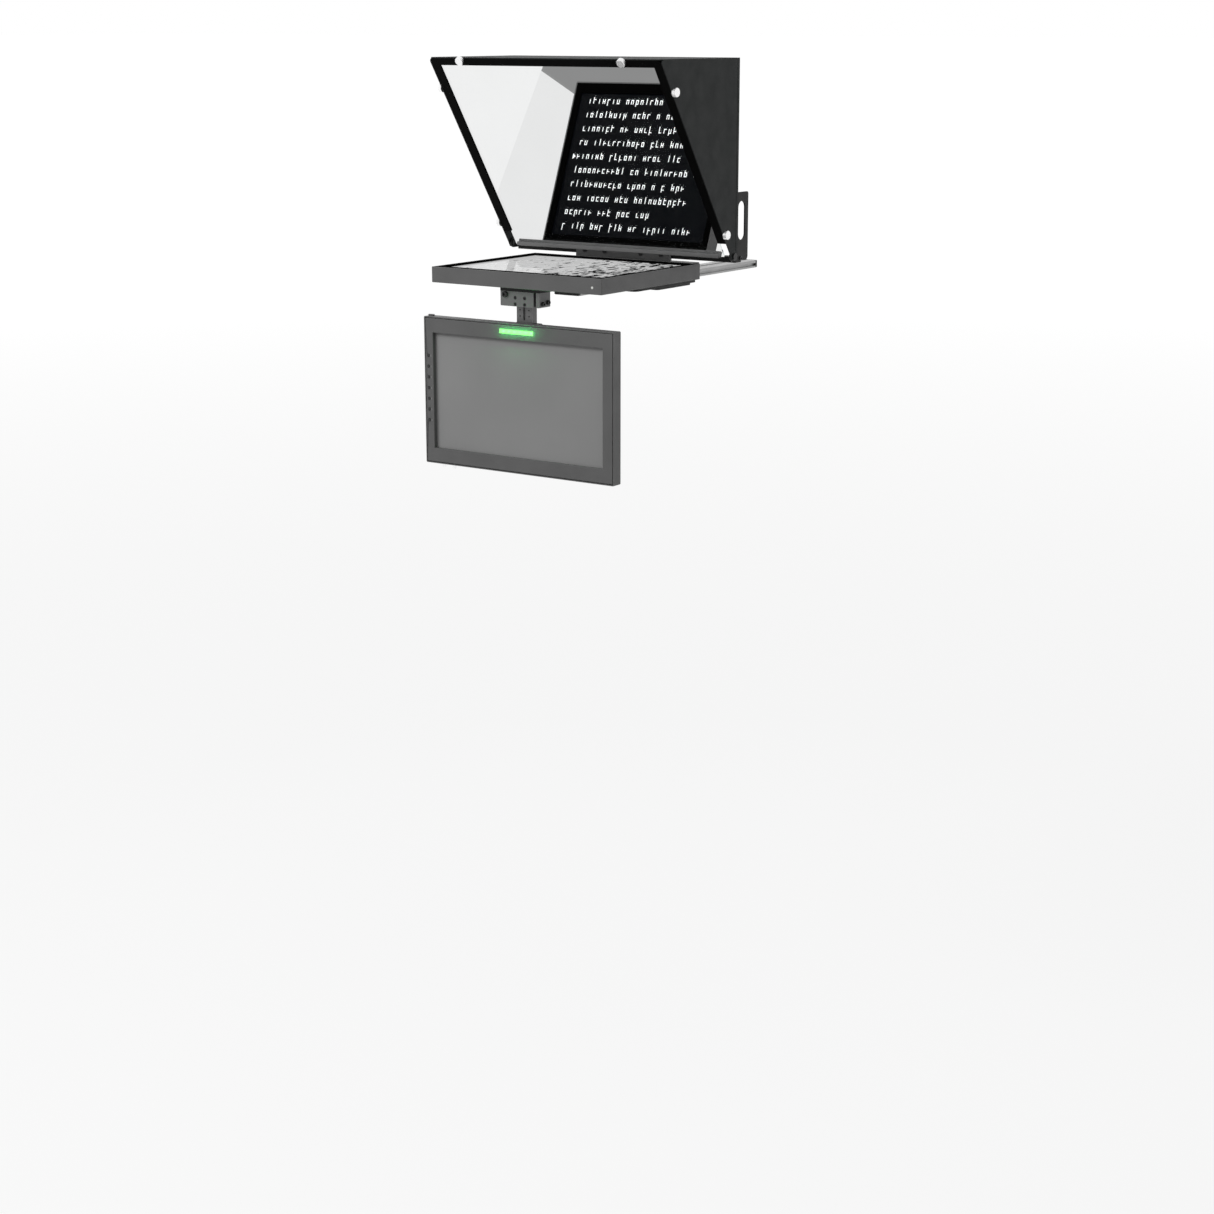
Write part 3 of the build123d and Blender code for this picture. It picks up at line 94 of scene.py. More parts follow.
def object_point(tree, stretch=(1, 1, 1)):
    """The point in the frame's own metres, so a texture moves with its body."""
    at = node(tree, "TexCoord").outputs["Object"]
    return node(tree, "Mapping", {"Vector": at, "Scale": stretch}).outputs["Vector"]


def noise_value(tree, scale, detail=3.0, stretch=(1, 1, 1), rough=0.5):
    inputs = {"Vector": object_point(tree, stretch), "Scale": scale, "Detail": detail, "Roughness": rough}
    return node(tree, "TexNoise", inputs).outputs["Fac"]


def remap(tree, value, low, high, start=0.3, end=0.7):
    inputs = {"Value": value, "From Min": start, "From Max": end, "To Min": low, "To Max": high}
    return node(tree, "MapRange", inputs).outputs["Result"]


def blend_colour(tree, factor, first, second):
    made = node(tree, "Mix", data_type="RGBA")
    for index, value in ((0, factor), (6, first), (7, second)):
        if isinstance(value, bpy.types.NodeSocket):
            tree.links.new(value, made.inputs[index])
        else:
            made.inputs[index].default_value = value
    return made.outputs[2]


def shade(colour, factor):
    return tuple(min(1.0, c * factor) for c in colour[:3]) + (1.0,)


def edge_mask(tree, radius):
    """1 on an outer edge that is rubbed in use, 0 on a flat face."""
    soft = node(tree, "Bevel", {"Radius": radius}, samples=4).outputs["Normal"]
    face = node(tree, "NewGeometry").outputs["Normal"]
    along = node(tree, "VectorMath", {0: soft, 1: face}, operation="DOT_PRODUCT").outputs["Value"]
    turned = remap(tree, along, 1.0, 0.0, 0.90, 0.995)
    broken = remap(tree, noise_value(tree, 90, 4.0), 0.25, 1.0)
    return node(tree, "Math", {0: turned, 1: broken}, operation="MULTIPLY").outputs[0]


def bump(tree, height, depth, strength=1.0, normal=None):
    inputs = {"Height": height, "Distance": depth, "Strength": strength}
    if normal is not None:
        inputs["Normal"] = normal
    return node(tree, "Bump", inputs).outputs["Normal"]


def finish_material(tree, shader):
    output = node(tree, "OutputMaterial")
    tree.links.new(shader, output.inputs["Surface"])


def coated(name, colour, roughness, metallic=0.0, grain=0.35, depth=0.05, spread=0.06,
           stretch=(1, 1, 1), wear=0.0, wear_colour=(0.5, 0.5, 0.5, 1), coat=0.0, mottle=0.07, shine=0.5):
    """Paint, anodising or moulded plastic: grain in mm, its depth in mm, cloudy colour, rubbed edges."""
    material, tree = new_tree(name)
    cloud = remap(tree, noise_value(tree, 14, 5.0), 0.0, 1.0)
    base = blend_colour(tree, cloud, shade(colour, 1 - mottle), shade(colour, 1 + mottle))
    speck = remap(tree, noise_value(tree, 1 / (grain * MM), 2.0, stretch), 0.0, 1.0)
    base = blend_colour(tree, remap(tree, speck, 0.0, 0.22, 0.0, 1.0), base, shade(colour, 1.35))
    rough = remap(tree, noise_value(tree, 32, 4.0), roughness - spread, roughness + spread)
    if wear:
        rubbed = node(tree, "Math", {0: edge_mask(tree, 0.6 * MM), 1: wear}, operation="MULTIPLY")
        base = blend_colour(tree, rubbed.outputs[0], base, wear_colour)
    normal = bump(tree, speck, depth * MM)
    inputs = {"Base Color": base, "Roughness": rough, "Metallic": metallic, "Normal": normal,
              "Specular IOR Level": shine, "Coat Weight": coat, "Coat Roughness": 0.25}
    finish_material(tree, node(tree, "BsdfPrincipled", inputs).outputs[0])
    return material


# ---------------------------------------------------------------- special materials
def mirror_glass(name, reflectance=0.85, dimming=0.72):
    """The beam splitter: its front face is coated, and the rest of the sheet is plain clear glass.

    dimming is tuned: it darkens what shows through the coated face.
    """
    material, tree = new_tree(name)
    face = node(tree, "TexCoord").outputs["Normal"]
    towards = node(tree, "VectorMath", {0: face, 1: tuple(GLASS_FRONT)}, operation="DOT_PRODUCT")
    towards = towards.outputs["Value"]
    coated_face = node(tree, "Math", {0: towards, 1: 0.9}, operation="GREATER_THAN").outputs[0]
    dust = remap(tree, noise_value(tree, 9, 5.0), reflectance - 0.01, reflectance + 0.01)
    share = remap(tree, coated_face, 0.02, 1.0, 0.0, 1.0)
    share = node(tree, "Math", {0: share, 1: dust}, operation="MULTIPLY").outputs[0]
    tint = blend_colour(tree, coated_face, (0.90, 0.93, 0.92, 1), shade((0.90, 0.93, 0.92), 1 - dimming))
    through = node(tree, "BsdfTransparent", {"Color": tint}).outputs[0]
    turned = (0, -math.sin(GLASS_TILT + REFLECTION_TURN), -math.cos(GLASS_TILT + REFLECTION_TURN))
    normal = node(tree, "VectorTransform", {"Vector": turned}, vector_type="NORMAL",
                  convert_from="OBJECT", convert_to="WORLD").outputs[0]
    inputs = {"Color": (0.985, 0.99, 0.99, 1), "Roughness": 0.0, "Normal": normal}
    mirror = node(tree, "BsdfGlossy", inputs).outputs[0]
    finish_material(tree, node(tree, "MixShader", {0: share, 1: through, 2: mirror}).outputs[0])
    return material


PAINTED_GLARE_BREAKS = (-100 * MM, 150 * MM)  # the painted glare is whole left of the first X, most broken right of the second
PAINTED_GLARE_GRAIN = 9 * MM
PAINTED_GLARE_GLOW = 0.8
PAINTED_GLARE_SHARE = 0.75


def clear_cover(name, most=0.85):
    """A coated clear sheet over a screen: no glare from above; when grazed, a real gloss mixed with
    painted glare, a bright broken haze of emission.
    """
    material, tree = new_tree(name)
    smear = remap(tree, noise_value(tree, 18, 4.0), 0.004, 0.03)
    facing = node(tree, "LayerWeight", {"Blend": 0.5}).outputs["Facing"]
    steep = remap(tree, facing, 0.0, most, 0.45, 0.75)
    inside = node(tree, "NewGeometry").outputs["Backfacing"]
    entering = node(tree, "Math", {0: 1.0, 1: inside}, operation="SUBTRACT").outputs[0]
    share = node(tree, "Math", {0: steep, 1: entering}, operation="MULTIPLY").outputs[0]
    through = node(tree, "BsdfTransparent", {"Color": (0.96, 0.97, 0.97, 1)}).outputs[0]
    gloss = node(tree, "BsdfGlossy", {"Color": (1, 1, 1, 1), "Roughness": smear}).outputs[0]
    across = node(tree, "SeparateXYZ", {0: object_point(tree)}).outputs["X"]
    limit = remap(tree, across, 0.30, 0.50, *PAINTED_GLARE_BREAKS)
    grain = noise_value(tree, 1 / PAINTED_GLARE_GRAIN, 2.0, (1, 0.35, 1))
    lit = node(tree, "Math", {0: grain, 1: limit}, operation="GREATER_THAN").outputs[0]
    power = node(tree, "Math", {0: lit, 1: PAINTED_GLARE_GLOW}, operation="MULTIPLY").outputs[0]
    # painted glare: this emission stands in for the sheet's bright grazing reflection, in broken grains;
    # the glass is no lamp
    painted_glare = node(tree, "Emission", {"Strength": power}).outputs[0]
    gloss_and_painted_glare = node(tree, "MixShader", {0: PAINTED_GLARE_SHARE, 1: gloss, 2: painted_glare}).outputs[0]
    finish_material(tree, node(tree, "MixShader", {0: share, 1: through, 2: gloss_and_painted_glare}).outputs[0])
    return material


PIXEL = 0.3 * MM


def screen(name, colour, roughness, glow=0.0, shine=0.5):
    """An LCD panel with its fine pixel grid."""
    material, tree = new_tree(name)
    grid = node(tree, "TexBrick", {
        "Vector": object_point(tree), "Scale": 1.0,
        "Color1": shade(colour, 1.03), "Color2": shade(colour, 0.97), "Mortar": shade(colour, 0.8),
        "Mortar Size": 0.04 * MM, "Brick Width": PIXEL, "Row Height": PIXEL,
    }, offset=0.0).outputs["Color"]
    cloud = remap(tree, noise_value(tree, 4, 2.0), 0.0, 1.0)
    base = blend_colour(tree, cloud, grid, shade(colour, 1.08))
    rough = remap(tree, noise_value(tree, 40, 4.0), roughness - 0.03, roughness + 0.03)
    inputs = {"Base Color": base, "Roughness": rough, "Specular IOR Level": shine,
              "Emission Color": (0.55, 0.65, 1, 1), "Emission Strength": glow}
    finish_material(tree, node(tree, "BsdfPrincipled", inputs).outputs[0])
    return material


def glowing(name, colour, strength, core=(1, 1, 1, 1)):
    """A lit diffuser: ridges run across it, and it is brightest where it faces the viewer."""
    material, tree = new_tree(name)
    ridge = node(tree, "TexWave", {"Vector": object_point(tree), "Scale": 160.0}, bands_direction="X")
    facing = node(tree, "LayerWeight", {"Blend": 0.35}).outputs["Facing"]
    tint = blend_colour(tree, facing, core, colour)
    power = remap(tree, ridge.outputs["Fac"], strength * 0.85, strength, 0.0, 1.0)
    inputs = {"Base Color": shade(colour, 0.3), "Roughness": 0.3, "Emission Color": tint,
              "Emission Strength": power}
    finish_material(tree, node(tree, "BsdfPrincipled", inputs).outputs[0])
    return material


def woven(name, colour, pitch=0.7):
    """A plain weave nylon: warp and weft threads pitch mm apart, with sheen."""
    material, tree = new_tree(name)
    waves = []
    for direction in ("X", "Y", "Z"):
        inputs = {"Vector": object_point(tree), "Scale": 0.314 / (pitch * MM) / 2, "Distortion": 0.4,
                  "Detail": 1.0, "Detail Scale": 2.0}
        waves.append(node(tree, "TexWave", inputs, bands_direction=direction).outputs["Fac"])
    cross = node(tree, "Math", {0: waves[0], 1: waves[2]}, operation="MAXIMUM").outputs[0]
    cross = node(tree, "Math", {0: cross, 1: waves[1]}, operation="MULTIPLY").outputs[0]
    cloud = remap(tree, noise_value(tree, 22, 4.0), 0.0, 1.0)
    base = blend_colour(tree, cloud, shade(colour, 0.8), shade(colour, 1.25))
    base = blend_colour(tree, cross, shade(colour, 0.55), base)
    rough = remap(tree, noise_value(tree, 60, 3.0), 0.78, 0.92)
    inputs = {"Base Color": base, "Roughness": rough, "Normal": bump(tree, cross, 0.12 * MM),
              "Sheen Weight": 0.35, "Sheen Roughness": 0.4, "Sheen Tint": (0.6, 0.62, 0.66, 1)}
    finish_material(tree, node(tree, "BsdfPrincipled", inputs).outputs[0])
    return material


def circuit_board(name):
    """Green solder mask with copper tracks under it."""
    material, tree = new_tree(name)
    cells = node(tree, "TexVoronoi", {"Vector": object_point(tree), "Scale": 240.0},
                 distance="MANHATTAN", feature="DISTANCE_TO_EDGE").outputs["Distance"]
    track = remap(tree, cells, 1.0, 0.0, 0.04, 0.09)
    base = blend_colour(tree, track, (0.006, 0.05, 0.022, 1), (0.02, 0.12, 0.05, 1))
    inputs = {"Base Color": base, "Roughness": 0.35, "Coat Weight": 0.4,
              "Normal": bump(tree, track, 0.03 * MM)}
    finish_material(tree, node(tree, "BsdfPrincipled", inputs).outputs[0])
    return material


def ink(name, colour, glow):
    """A lit or printed mark."""
    material, tree = new_tree(name)
    cloud = remap(tree, noise_value(tree, 400, 2.0), 0.9, 1.0)
    power = node(tree, "Math", {0: cloud, 1: glow}, operation="MULTIPLY").outputs[0]
    inputs = {"Base Color": colour, "Roughness": 0.6, "Emission Color": colour, "Emission Strength": power}
    finish_material(tree, node(tree, "BsdfPrincipled", inputs).outputs[0])
    return material


def grey(value, warm=0.0):
    return (value * (1 + warm), value, value * (1 - warm), 1.0)


ALONG_RAIL = (1, 0.02, 1)  # drawn aluminium: the grain runs along Y
FINISHES = {
    "rail_aluminium": coated("rail_aluminium", grey(0.36), 0.4, 0.7, 0.5, 0.02, stretch=ALONG_RAIL,
                             wear=0.3),
    "grey_anodised": coated("grey_anodised", grey(0.14), 0.42, 0.5, 0.3, 0.03, wear=0.5),
    "black_anodised": coated("black_anodised", grey(0.007), 0.46, 0.0, 0.3, 0.03, wear=0.35, shine=0.2),
    "black_plastic": coated("black_plastic", grey(0.018), 0.5, 0.0, 0.6, 0.05),
    "black_steel": coated("black_steel", grey(0.02), 0.36, 0.6, 0.25, 0.02, wear=0.4),
    "silver_steel": coated("silver_steel", grey(0.9), 0.26, 1.0, 0.3, 0.01),
    "case_grey": coated("case_grey", grey(0.105), 0.48, 0.15, 0.45, 0.05, wear=0.35),
    "frame_black": coated("frame_black", grey(0.003), 0.5, 0.0, 0.4, 0.04, shine=0.02),
    "hood_black": coated("hood_black", (0.0090, 0.0106, 0.0106, 1), 0.55, 0.0, 0.5, 0.05, wear=0.15,
                         shine=0.18),
    "gasket_rubber": coated("gasket_rubber", grey(0.012), 0.75, 0.0, 0.8, 0.08),
    "screen_black": coated("screen_black", grey(0.002), 0.5, 0.0, 0.4, 0.02, shine=0.0),
    "backlight_white": coated("backlight_white", grey(0.8), 0.5, 0.0, 1.0, 0.02),
    "lamp_lens": coated("lamp_lens", (0.75, 0.76, 0.72, 1), 0.15, 0.0, 0.3, 0.01, coat=0.6),
    "circuit_board": circuit_board("circuit_board"),
    "prompter_screen": screen("prompter_screen", grey(0.003), 0.4, 0.003, shine=0.05),
    "talent_screen": screen("talent_screen", grey(0.26), 0.42),
    "tally_green": glowing("tally_green", (0.22, 0.80, 0.17, 1), 1.0, (0.42, 0.95, 0.32, 1)),
    "mirror_glass": mirror_glass("mirror_glass"),
    "cover_glass": clear_cover("cover_glass"),
    "shroud_fabric": woven("shroud_fabric", grey(0.014)),
}
TEXT_WHITE = ink("text_white", grey(0.9), 1.1)
MARK_WHITE = ink("mark_white", grey(0.32), 0.0)


# ---------------------------------------------------------------- CAD nodes
def edge_group():
    """Geometry nodes that join the CAD's facets and shade them smooth up to a 30 degree edge."""
    tree = bpy.data.node_groups.new("cad_shading", "GeometryNodeTree")
    tree.interface.new_socket("Geometry", in_out="INPUT", socket_type="NodeSocketGeometry")
    tree.interface.new_socket("Geometry", in_out="OUTPUT", socket_type="NodeSocketGeometry")
    source = tree.nodes.new("NodeGroupInput").outputs[0]
    join = tree.nodes.new("GeometryNodeMergeByDistance")
    join.inputs["Distance"].default_value = 0.002 * MM
    plain = tree.nodes.new("GeometryNodeRemoveAttribute")
    plain.inputs["Name"].default_value = "custom_normal"
    faces = tree.nodes.new("GeometryNodeSetShadeSmooth")
    faces.domain = "FACE"
    edges = tree.nodes.new("GeometryNodeSetShadeSmooth")
    edges.domain = "EDGE"
    angle = tree.nodes.new("GeometryNodeInputMeshEdgeAngle")
    gentle = tree.nodes.new("FunctionNodeCompare")
    gentle.operation = "LESS_THAN"
    gentle.inputs[1].default_value = math.radians(30)
    sink = tree.nodes.new("NodeGroupOutput")
    tree.links.new(source, join.inputs["Geometry"])
    tree.links.new(join.outputs[0], plain.inputs["Geometry"])
    tree.links.new(plain.outputs[0], faces.inputs["Geometry"])
    tree.links.new(faces.outputs[0], edges.inputs["Geometry"])
    tree.links.new(angle.outputs["Unsigned Angle"], gentle.inputs[0])
    tree.links.new(gentle.outputs[0], edges.inputs["Shade Smooth"])
    tree.links.new(edges.outputs[0], sink.inputs[0])
    return tree


SHADING = edge_group()
EDGE_WIDTHS = {
    "case_grey": 0.5, "hood_black": 0.35, "frame_black": 0.5, "rail_aluminium": 0.4, "grey_anodised": 0.5,
    "black_anodised": 0.5, "black_plastic": 0.3, "gasket_rubber": 0.3, "mirror_glass": 0.0,
    "cover_glass": 0.0,
}
SMALL_EDGE = 0.15  # mm, on every other finish

for cad_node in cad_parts.values():
    slot_name = cad_node.material_slots[0].material.name
    cad_node.material_slots[0].material = FINISHES[slot_name]
    shading = cad_node.modifiers.new("shading", "NODES")
    shading.node_group = SHADING
    width = EDGE_WIDTHS.get(slot_name, SMALL_EDGE)
    if width:
        soften = cad_node.modifiers.new("soften", "BEVEL")
        soften.width = width * MM
        soften.segments = 2
        soften.limit_method = "ANGLE"
        soften.angle_limit = math.radians(35)
        soften.harden_normals = True


# ---------------------------------------------------------------- mesh building blocks
def add_piece(name, shape, material, body):
    """Turns a bmesh into an object that rides on a body."""
    bmesh.ops.recalc_face_normals(shape, faces=shape.faces)
    mesh = bpy.data.meshes.new(name)
    shape.to_mesh(mesh)
    shape.free()
    piece = bpy.data.objects.new(name, mesh)
    bpy.context.scene.collection.objects.link(piece)
    mesh.materials.append(material)
    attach(piece, body)
    return piece


def prism(shape, outline, offset):
    """Adds a closed solid to shape: the outline's points, and the same points moved by offset."""
    low = [shape.verts.new(p) for p in outline]
    high = [shape.verts.new(Vector(p) + Vector(offset)) for p in outline]
    shape.faces.new(low[::-1])
    shape.faces.new(high)
    for i, start in enumerate(low):
        j = (i + 1) % len(low)
        shape.faces.new((start, low[j], high[j], high[i]))


def rounded_outline(half_x, half_y, radius, steps=3):
    """The corners of a rounded rectangle round the origin, counter-clockwise."""
    points = []
    for corner, (sx, sy) in enumerate(((1, 1), (-1, 1), (-1, -1), (1, -1))):
        for step in range(steps + 1):
            turn = math.radians(90 * corner + 90 * step / steps)
            x = sx * (half_x - radius) + radius * math.cos(turn)
            y = sy * (half_y - radius) + radius * math.sin(turn)
            points.append((x, y))
    return points


# ---------------------------------------------------------------- picture on the prompter's screen
SCRIPT_ROWS = 10
SCRIPT_CELLS = 29  # characters that fit on a line
CELL = 12.0 * MM
ROW_PITCH = 29.5 * MM
FIRST_ROW = 22.0 * MM  # behind the panel's front edge
LEFT_MARGIN = -170.0 * MM
STROKE = 1.6  # mm, width of a mark's strokes
WIDE = 3.2  # mm, half the width of a mark
TALL = 4.8  # mm, half its height, without a riser or a tail
REACH = 4.2  # mm, length of a riser or a tail
ARROW_ROW = 4
LETTER_LIFT = 0.06 * MM


def bar(low_x, low_up, high_x, high_up):
    """A rectangle of a mark, in mm from the middle of its cell."""
    return ((low_x, low_up), (high_x, low_up), (high_x, high_up), (low_x, high_up))


def mark_strokes(chooser):
    """One meaningless mark: two posts or one, joined by rungs, and now and then a riser or a tail."""
    inner = WIDE - STROKE
    low = -TALL - REACH * chooser.choice((0, 0, 0, 0, 0, 1))
    high = TALL + REACH * chooser.choice((0, 0, 0, 1))
    if chooser.random() < 0.2:
        return [bar(-STROKE / 2, -TALL, STROKE / 2, high)]
    strokes = [bar(-WIDE, low, -inner, high)]
    reach = inner
    if chooser.random() < 0.6:
        strokes.append(bar(inner, -TALL, WIDE, TALL))
    else:
        reach = WIDE
    for up in chooser.choice(((TALL - STROKE,), (-TALL,), (TALL - STROKE, -TALL), (-STROKE / 2,))):
        strokes.append(bar(-inner, up, reach, up + STROKE))
    return strokes


def script_words(chooser):
    """Word lengths that fill one line of script."""
    words, used = [], 0
    while True:
        length = chooser.choice((1, 2, 3, 3, 4, 5, 6, 7, 8, 9, 11))
        if used + length > SCRIPT_CELLS:
            return words
        words.append(length)
        used += length + 1


def prompter_picture():
    """Greeked script: rows of meaningless marks, laid out so that the glass shows them upright."""
    low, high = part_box("prompter_lcd_panel")
    top = high.z + LETTER_LIFT
    chooser = random.Random(11)
    shape = bmesh.new()
    for row in range(SCRIPT_ROWS):
        y = low.y + FIRST_ROW + row * ROW_PITCH
        x = LEFT_MARGIN + CELL / 2
        for length in script_words(chooser):
            for _ in range(length):
                for stroke in mark_strokes(chooser):
                    outline = [(x + px * MM, y - up * MM, top) for px, up in stroke]
                    prism(shape, outline, (0, 0, LETTER_LIFT))
                x += CELL
            x += CELL
    add_piece("prompter_script", shape, TEXT_WHITE, "base")
    shape = bmesh.new()
    x = LEFT_MARGIN - 8 * MM
    y = low.y + FIRST_ROW + ARROW_ROW * ROW_PITCH
    arrow = [(x, y - 6 * MM, top), (x + 7 * MM, y, top), (x, y + 6 * MM, top)]
    prism(shape, arrow, (0, 0, LETTER_LIFT))
    add_piece("prompter_cue_arrow", shape, TEXT_WHITE, "base")


prompter_picture()

# ---------------------------------------------------------------- printed marks by the talent buttons
MARKED_BUTTONS = ("input", "menu", "up", "down", "left", "right", "power")


def key_marks():
    """A short printed dash beside each button of the talent monitor."""
    shape = bmesh.new()
    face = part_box("talent_bezel")[0].y
    for use in MARKED_BUTTONS:
        low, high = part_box(f"talent_{use}_button")
        x = high.x + 2.2 * MM
        z = (low.z + high.z) / 2
        dash = rounded_outline(0.5 * MM, 2.2 * MM, 0.4 * MM)
        outline = [(x + px, face - 0.02 * MM, z + pz) for px, pz in dash]
        prism(shape, outline, (0, -0.05 * MM, 0))
    add_piece("talent_key_marks", shape, MARK_WHITE, "talent_monitor")


key_marks()

# ---------------------------------------------------------------- lens shroud
ROUND = 176  # points round the sleeve
ALONG = 30  # rings from the rear panel to the lens mouth
SIM_FRAMES = 24
SHROUD_LOW, SHROUD_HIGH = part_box("lens_shroud")
SHROUD_MIDDLE = (SHROUD_LOW + SHROUD_HIGH) / 2
FLANGE_HALF = ((SHROUD_HIGH.x - SHROUD_LOW.x) / 2 - 3 * MM, (SHROUD_HIGH.z - SHROUD_LOW.z) / 2 - 3 * MM)
MOUTH_HALF = 66 * MM


def sleeve_point(turn, share, gather=1.0):
    """A point of the sleeve: share 0 is at the rear panel, 1 is at the lens mouth."""
    ease = share ** 0.85
    half_x = FLANGE_HALF[0] + (MOUTH_HALF - FLANGE_HALF[0]) * ease
    half_z = FLANGE_HALF[1] + (MOUTH_HALF - FLANGE_HALF[1]) * ease
    power = 2 / (7.5 + (2.1 - 7.5) * min(1.0, share * 1.35))
    c, s = math.cos(turn), math.sin(turn)
    x = math.copysign(abs(c) ** power, c) * half_x
    z = math.copysign(abs(s) ** power, s) * half_z
    fold = noise.noise(Vector((c * 2.2, s * 2.2, share * 2.0)))
    pleat = math.sin(turn * 26 + 2.5 * fold) * share ** 2 * 1.6 + fold * 4.0 * math.sin(math.pi * share)
    swell = 1 + gather * pleat * MM / max(half_x, half_z)
    y = SHROUD_LOW.y + 2 * MM + (SHROUD_HIGH.y - SHROUD_LOW.y - 6 * MM) * share
    return Vector((x * swell, y, SHROUD_MIDDLE.z + z * swell))


def settle(piece, pinned, cap):
    """Drops the cloth under its own weight, with the pinned points held, and keeps each move under cap."""
    group = piece.vertex_groups.new(name="pinned")
    group.add(pinned, 1.0, "ADD")
    cloth = piece.modifiers.new("drape", "CLOTH")
    cloth.settings.quality = 6
    cloth.settings.mass = 0.25
    cloth.settings.tension_stiffness = 12
    cloth.settings.compression_stiffness = 12
    cloth.settings.bending_stiffness = 0.6
    cloth.settings.shrink_min = -0.06
    cloth.settings.vertex_group_mass = "pinned"
    cloth.collision_settings.use_collision = False
    cloth.point_cache.frame_start = 1
    cloth.point_cache.frame_end = SIM_FRAMES
    for step in range(1, SIM_FRAMES + 1):
        bpy.context.scene.frame_set(step)
    graph = bpy.context.evaluated_depsgraph_get()
    settled = [v.co.copy() for v in piece.evaluated_get(graph).data.vertices]
    piece.modifiers.remove(cloth)
    bpy.context.scene.frame_set(1)
    for vertex, place in zip(piece.data.vertices, settled):
        move = place - vertex.co
        if move.length > cap:
            move *= cap / move.length
        vertex.co += move


def lens_shroud():
    """The nylon sleeve: sewn to the flange band, gathered by elastic at the mouth."""
    shape = bmesh.new()
    rings = []
    for i in range(ALONG + 1):
        turns = [2 * math.pi * k / ROUND for k in range(ROUND)]
        rings.append([shape.verts.new(sleeve_point(turn, i / ALONG)) for turn in turns])
    for near, far in zip(rings, rings[1:]):
        for k in range(ROUND):
            shape.faces.new((near[k], near[(k + 1) % ROUND], far[(k + 1) % ROUND], far[k]))
    sleeve = add_piece("shroud_sleeve", shape, FINISHES["shroud_fabric"], "hood")
    held = list(range(2 * ROUND)) + list(range((ALONG - 1) * ROUND, (ALONG + 1) * ROUND))
    settle(sleeve, held, 9 * MM)
    for polygon in sleeve.data.polygons:
        polygon.use_smooth = True
    thick = sleeve.modifiers.new("thick", "SOLIDIFY")
    thick.thickness = 1.0 * MM
    thick.offset = -1
    smooth = sleeve.modifiers.new("smooth", "SUBSURF")
    smooth.levels = smooth.render_levels = 1
    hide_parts("lens_shroud")
    return sleeve


def tube_round(name, share, radius, ripple, ripples, material, flat=1.0, steps=10):
    """A closed cord or hem that follows the sleeve's ring at share."""
    shape = bmesh.new()
    rings = []
    for k in range(ROUND):
        turn = 2 * math.pi * k / ROUND
        centre = sleeve_point(turn, share, 0.0)
        outward = Vector((centre.x, 0, centre.z - SHROUD_MIDDLE.z)).normalized()
        size = radius * (1 + ripple * math.sin(turn * ripples))
        ring = []
        for j in range(steps):
            roll = 2 * math.pi * j / steps
            along = Vector((0, size * flat * math.sin(roll), 0))
            ring.append(shape.verts.new(centre + outward * size * math.cos(roll) + along))
        rings.append(ring)
    for k, ring in enumerate(rings):
        after = rings[(k + 1) % ROUND]
        for j in range(steps):
            shape.faces.new((ring[j], ring[(j + 1) % steps], after[(j + 1) % steps], after[j]))
    piece = add_piece(name, shape, material, "hood")
    for polygon in piece.data.polygons:
        polygon.use_smooth = True
    return piece


def stitch_rows():
    """Lock stitches along the flange band and round the elastic hem."""
    shape = bmesh.new()
    for share, lift, count in ((0.075, 0.7, 190), (0.93, 0.9, 84)):
        for k in range(count):
            turns = [2 * math.pi * (k + part) / count for part in (0.15, 0.5, 0.85)]
            for first, second in zip(turns, turns[1:]):
                ends = [sleeve_point(turn, share, 0.0) for turn in (first, second)]
                outward = [Vector((e.x, 0, e.z - SHROUD_MIDDLE.z)).normalized() * lift * MM for e in ends]
                ends = [e + o for e, o in zip(ends, outward)]
                along = (ends[1] - ends[0]).normalized()
                side = along.cross(outward[0].normalized()) * 0.22 * MM
                rise = outward[0].normalized() * 0.22 * MM
                outline = [ends[0] + side, ends[0] + rise, ends[0] - side, ends[0] - rise]
                prism(shape, outline, ends[1] - ends[0])
    return add_piece("shroud_stitches", shape, THREAD, "hood")


THREAD = coated("thread", grey(0.05), 0.7, 0.0, 0.2, 0.03)
lens_shroud()
tube_round("shroud_flange_band", 0.0, 2.6 * MM, 0.0, 1, FINISHES["shroud_fabric"], flat=0.6)
tube_round("shroud_elastic_hem", 1.0, 3.4 * MM, 0.16, 44, FINISHES["shroud_fabric"])
stitch_rows()

# ---------------------------------------------------------------- stage, light and camera
FLOOR_Z = -1.55
FLOOR_REACH = 300  # from the middle to each side
# painted reflections: level cards that only the glass sees; the dark one paints a grey patch into the beam
# splitter's reflection, the pale one a patch a little below white
REFLECTION_CARD_Z = -0.9
PAINTED_DARK_REFLECTION = [(-1.055, -0.864), (-0.93, -1.394), (0.6, -1.5), (0.541, -0.073)]
PAINTED_PALE_REFLECTION = [(-1.055, -0.864), (-1.1663, -0.2316), (-0.6, -0.2316), (-0.6, -0.6385)]
centre = (cad_box[0] + cad_box[1]) / 2


def stage_sheet(name, corners, height, material, seen_by):
    """A level sheet that isn't part of the object. Only one kind of ray sees it."""
    shape = bmesh.new()
    shape.faces.new([shape.verts.new((x, y, 0)) for x, y in corners])
    mesh = bpy.data.meshes.new(name)
    shape.to_mesh(mesh)
    shape.free()
    mesh.materials.append(material)
    sheet = bpy.data.objects.new(name, mesh)
    sheet.location = (0, 0, height)
    for ray in ("camera", "glossy", "diffuse", "shadow", "transmission", "volume_scatter"):
        setattr(sheet, f"visible_{ray}", ray == seen_by)
    bpy.context.scene.collection.objects.link(sheet)


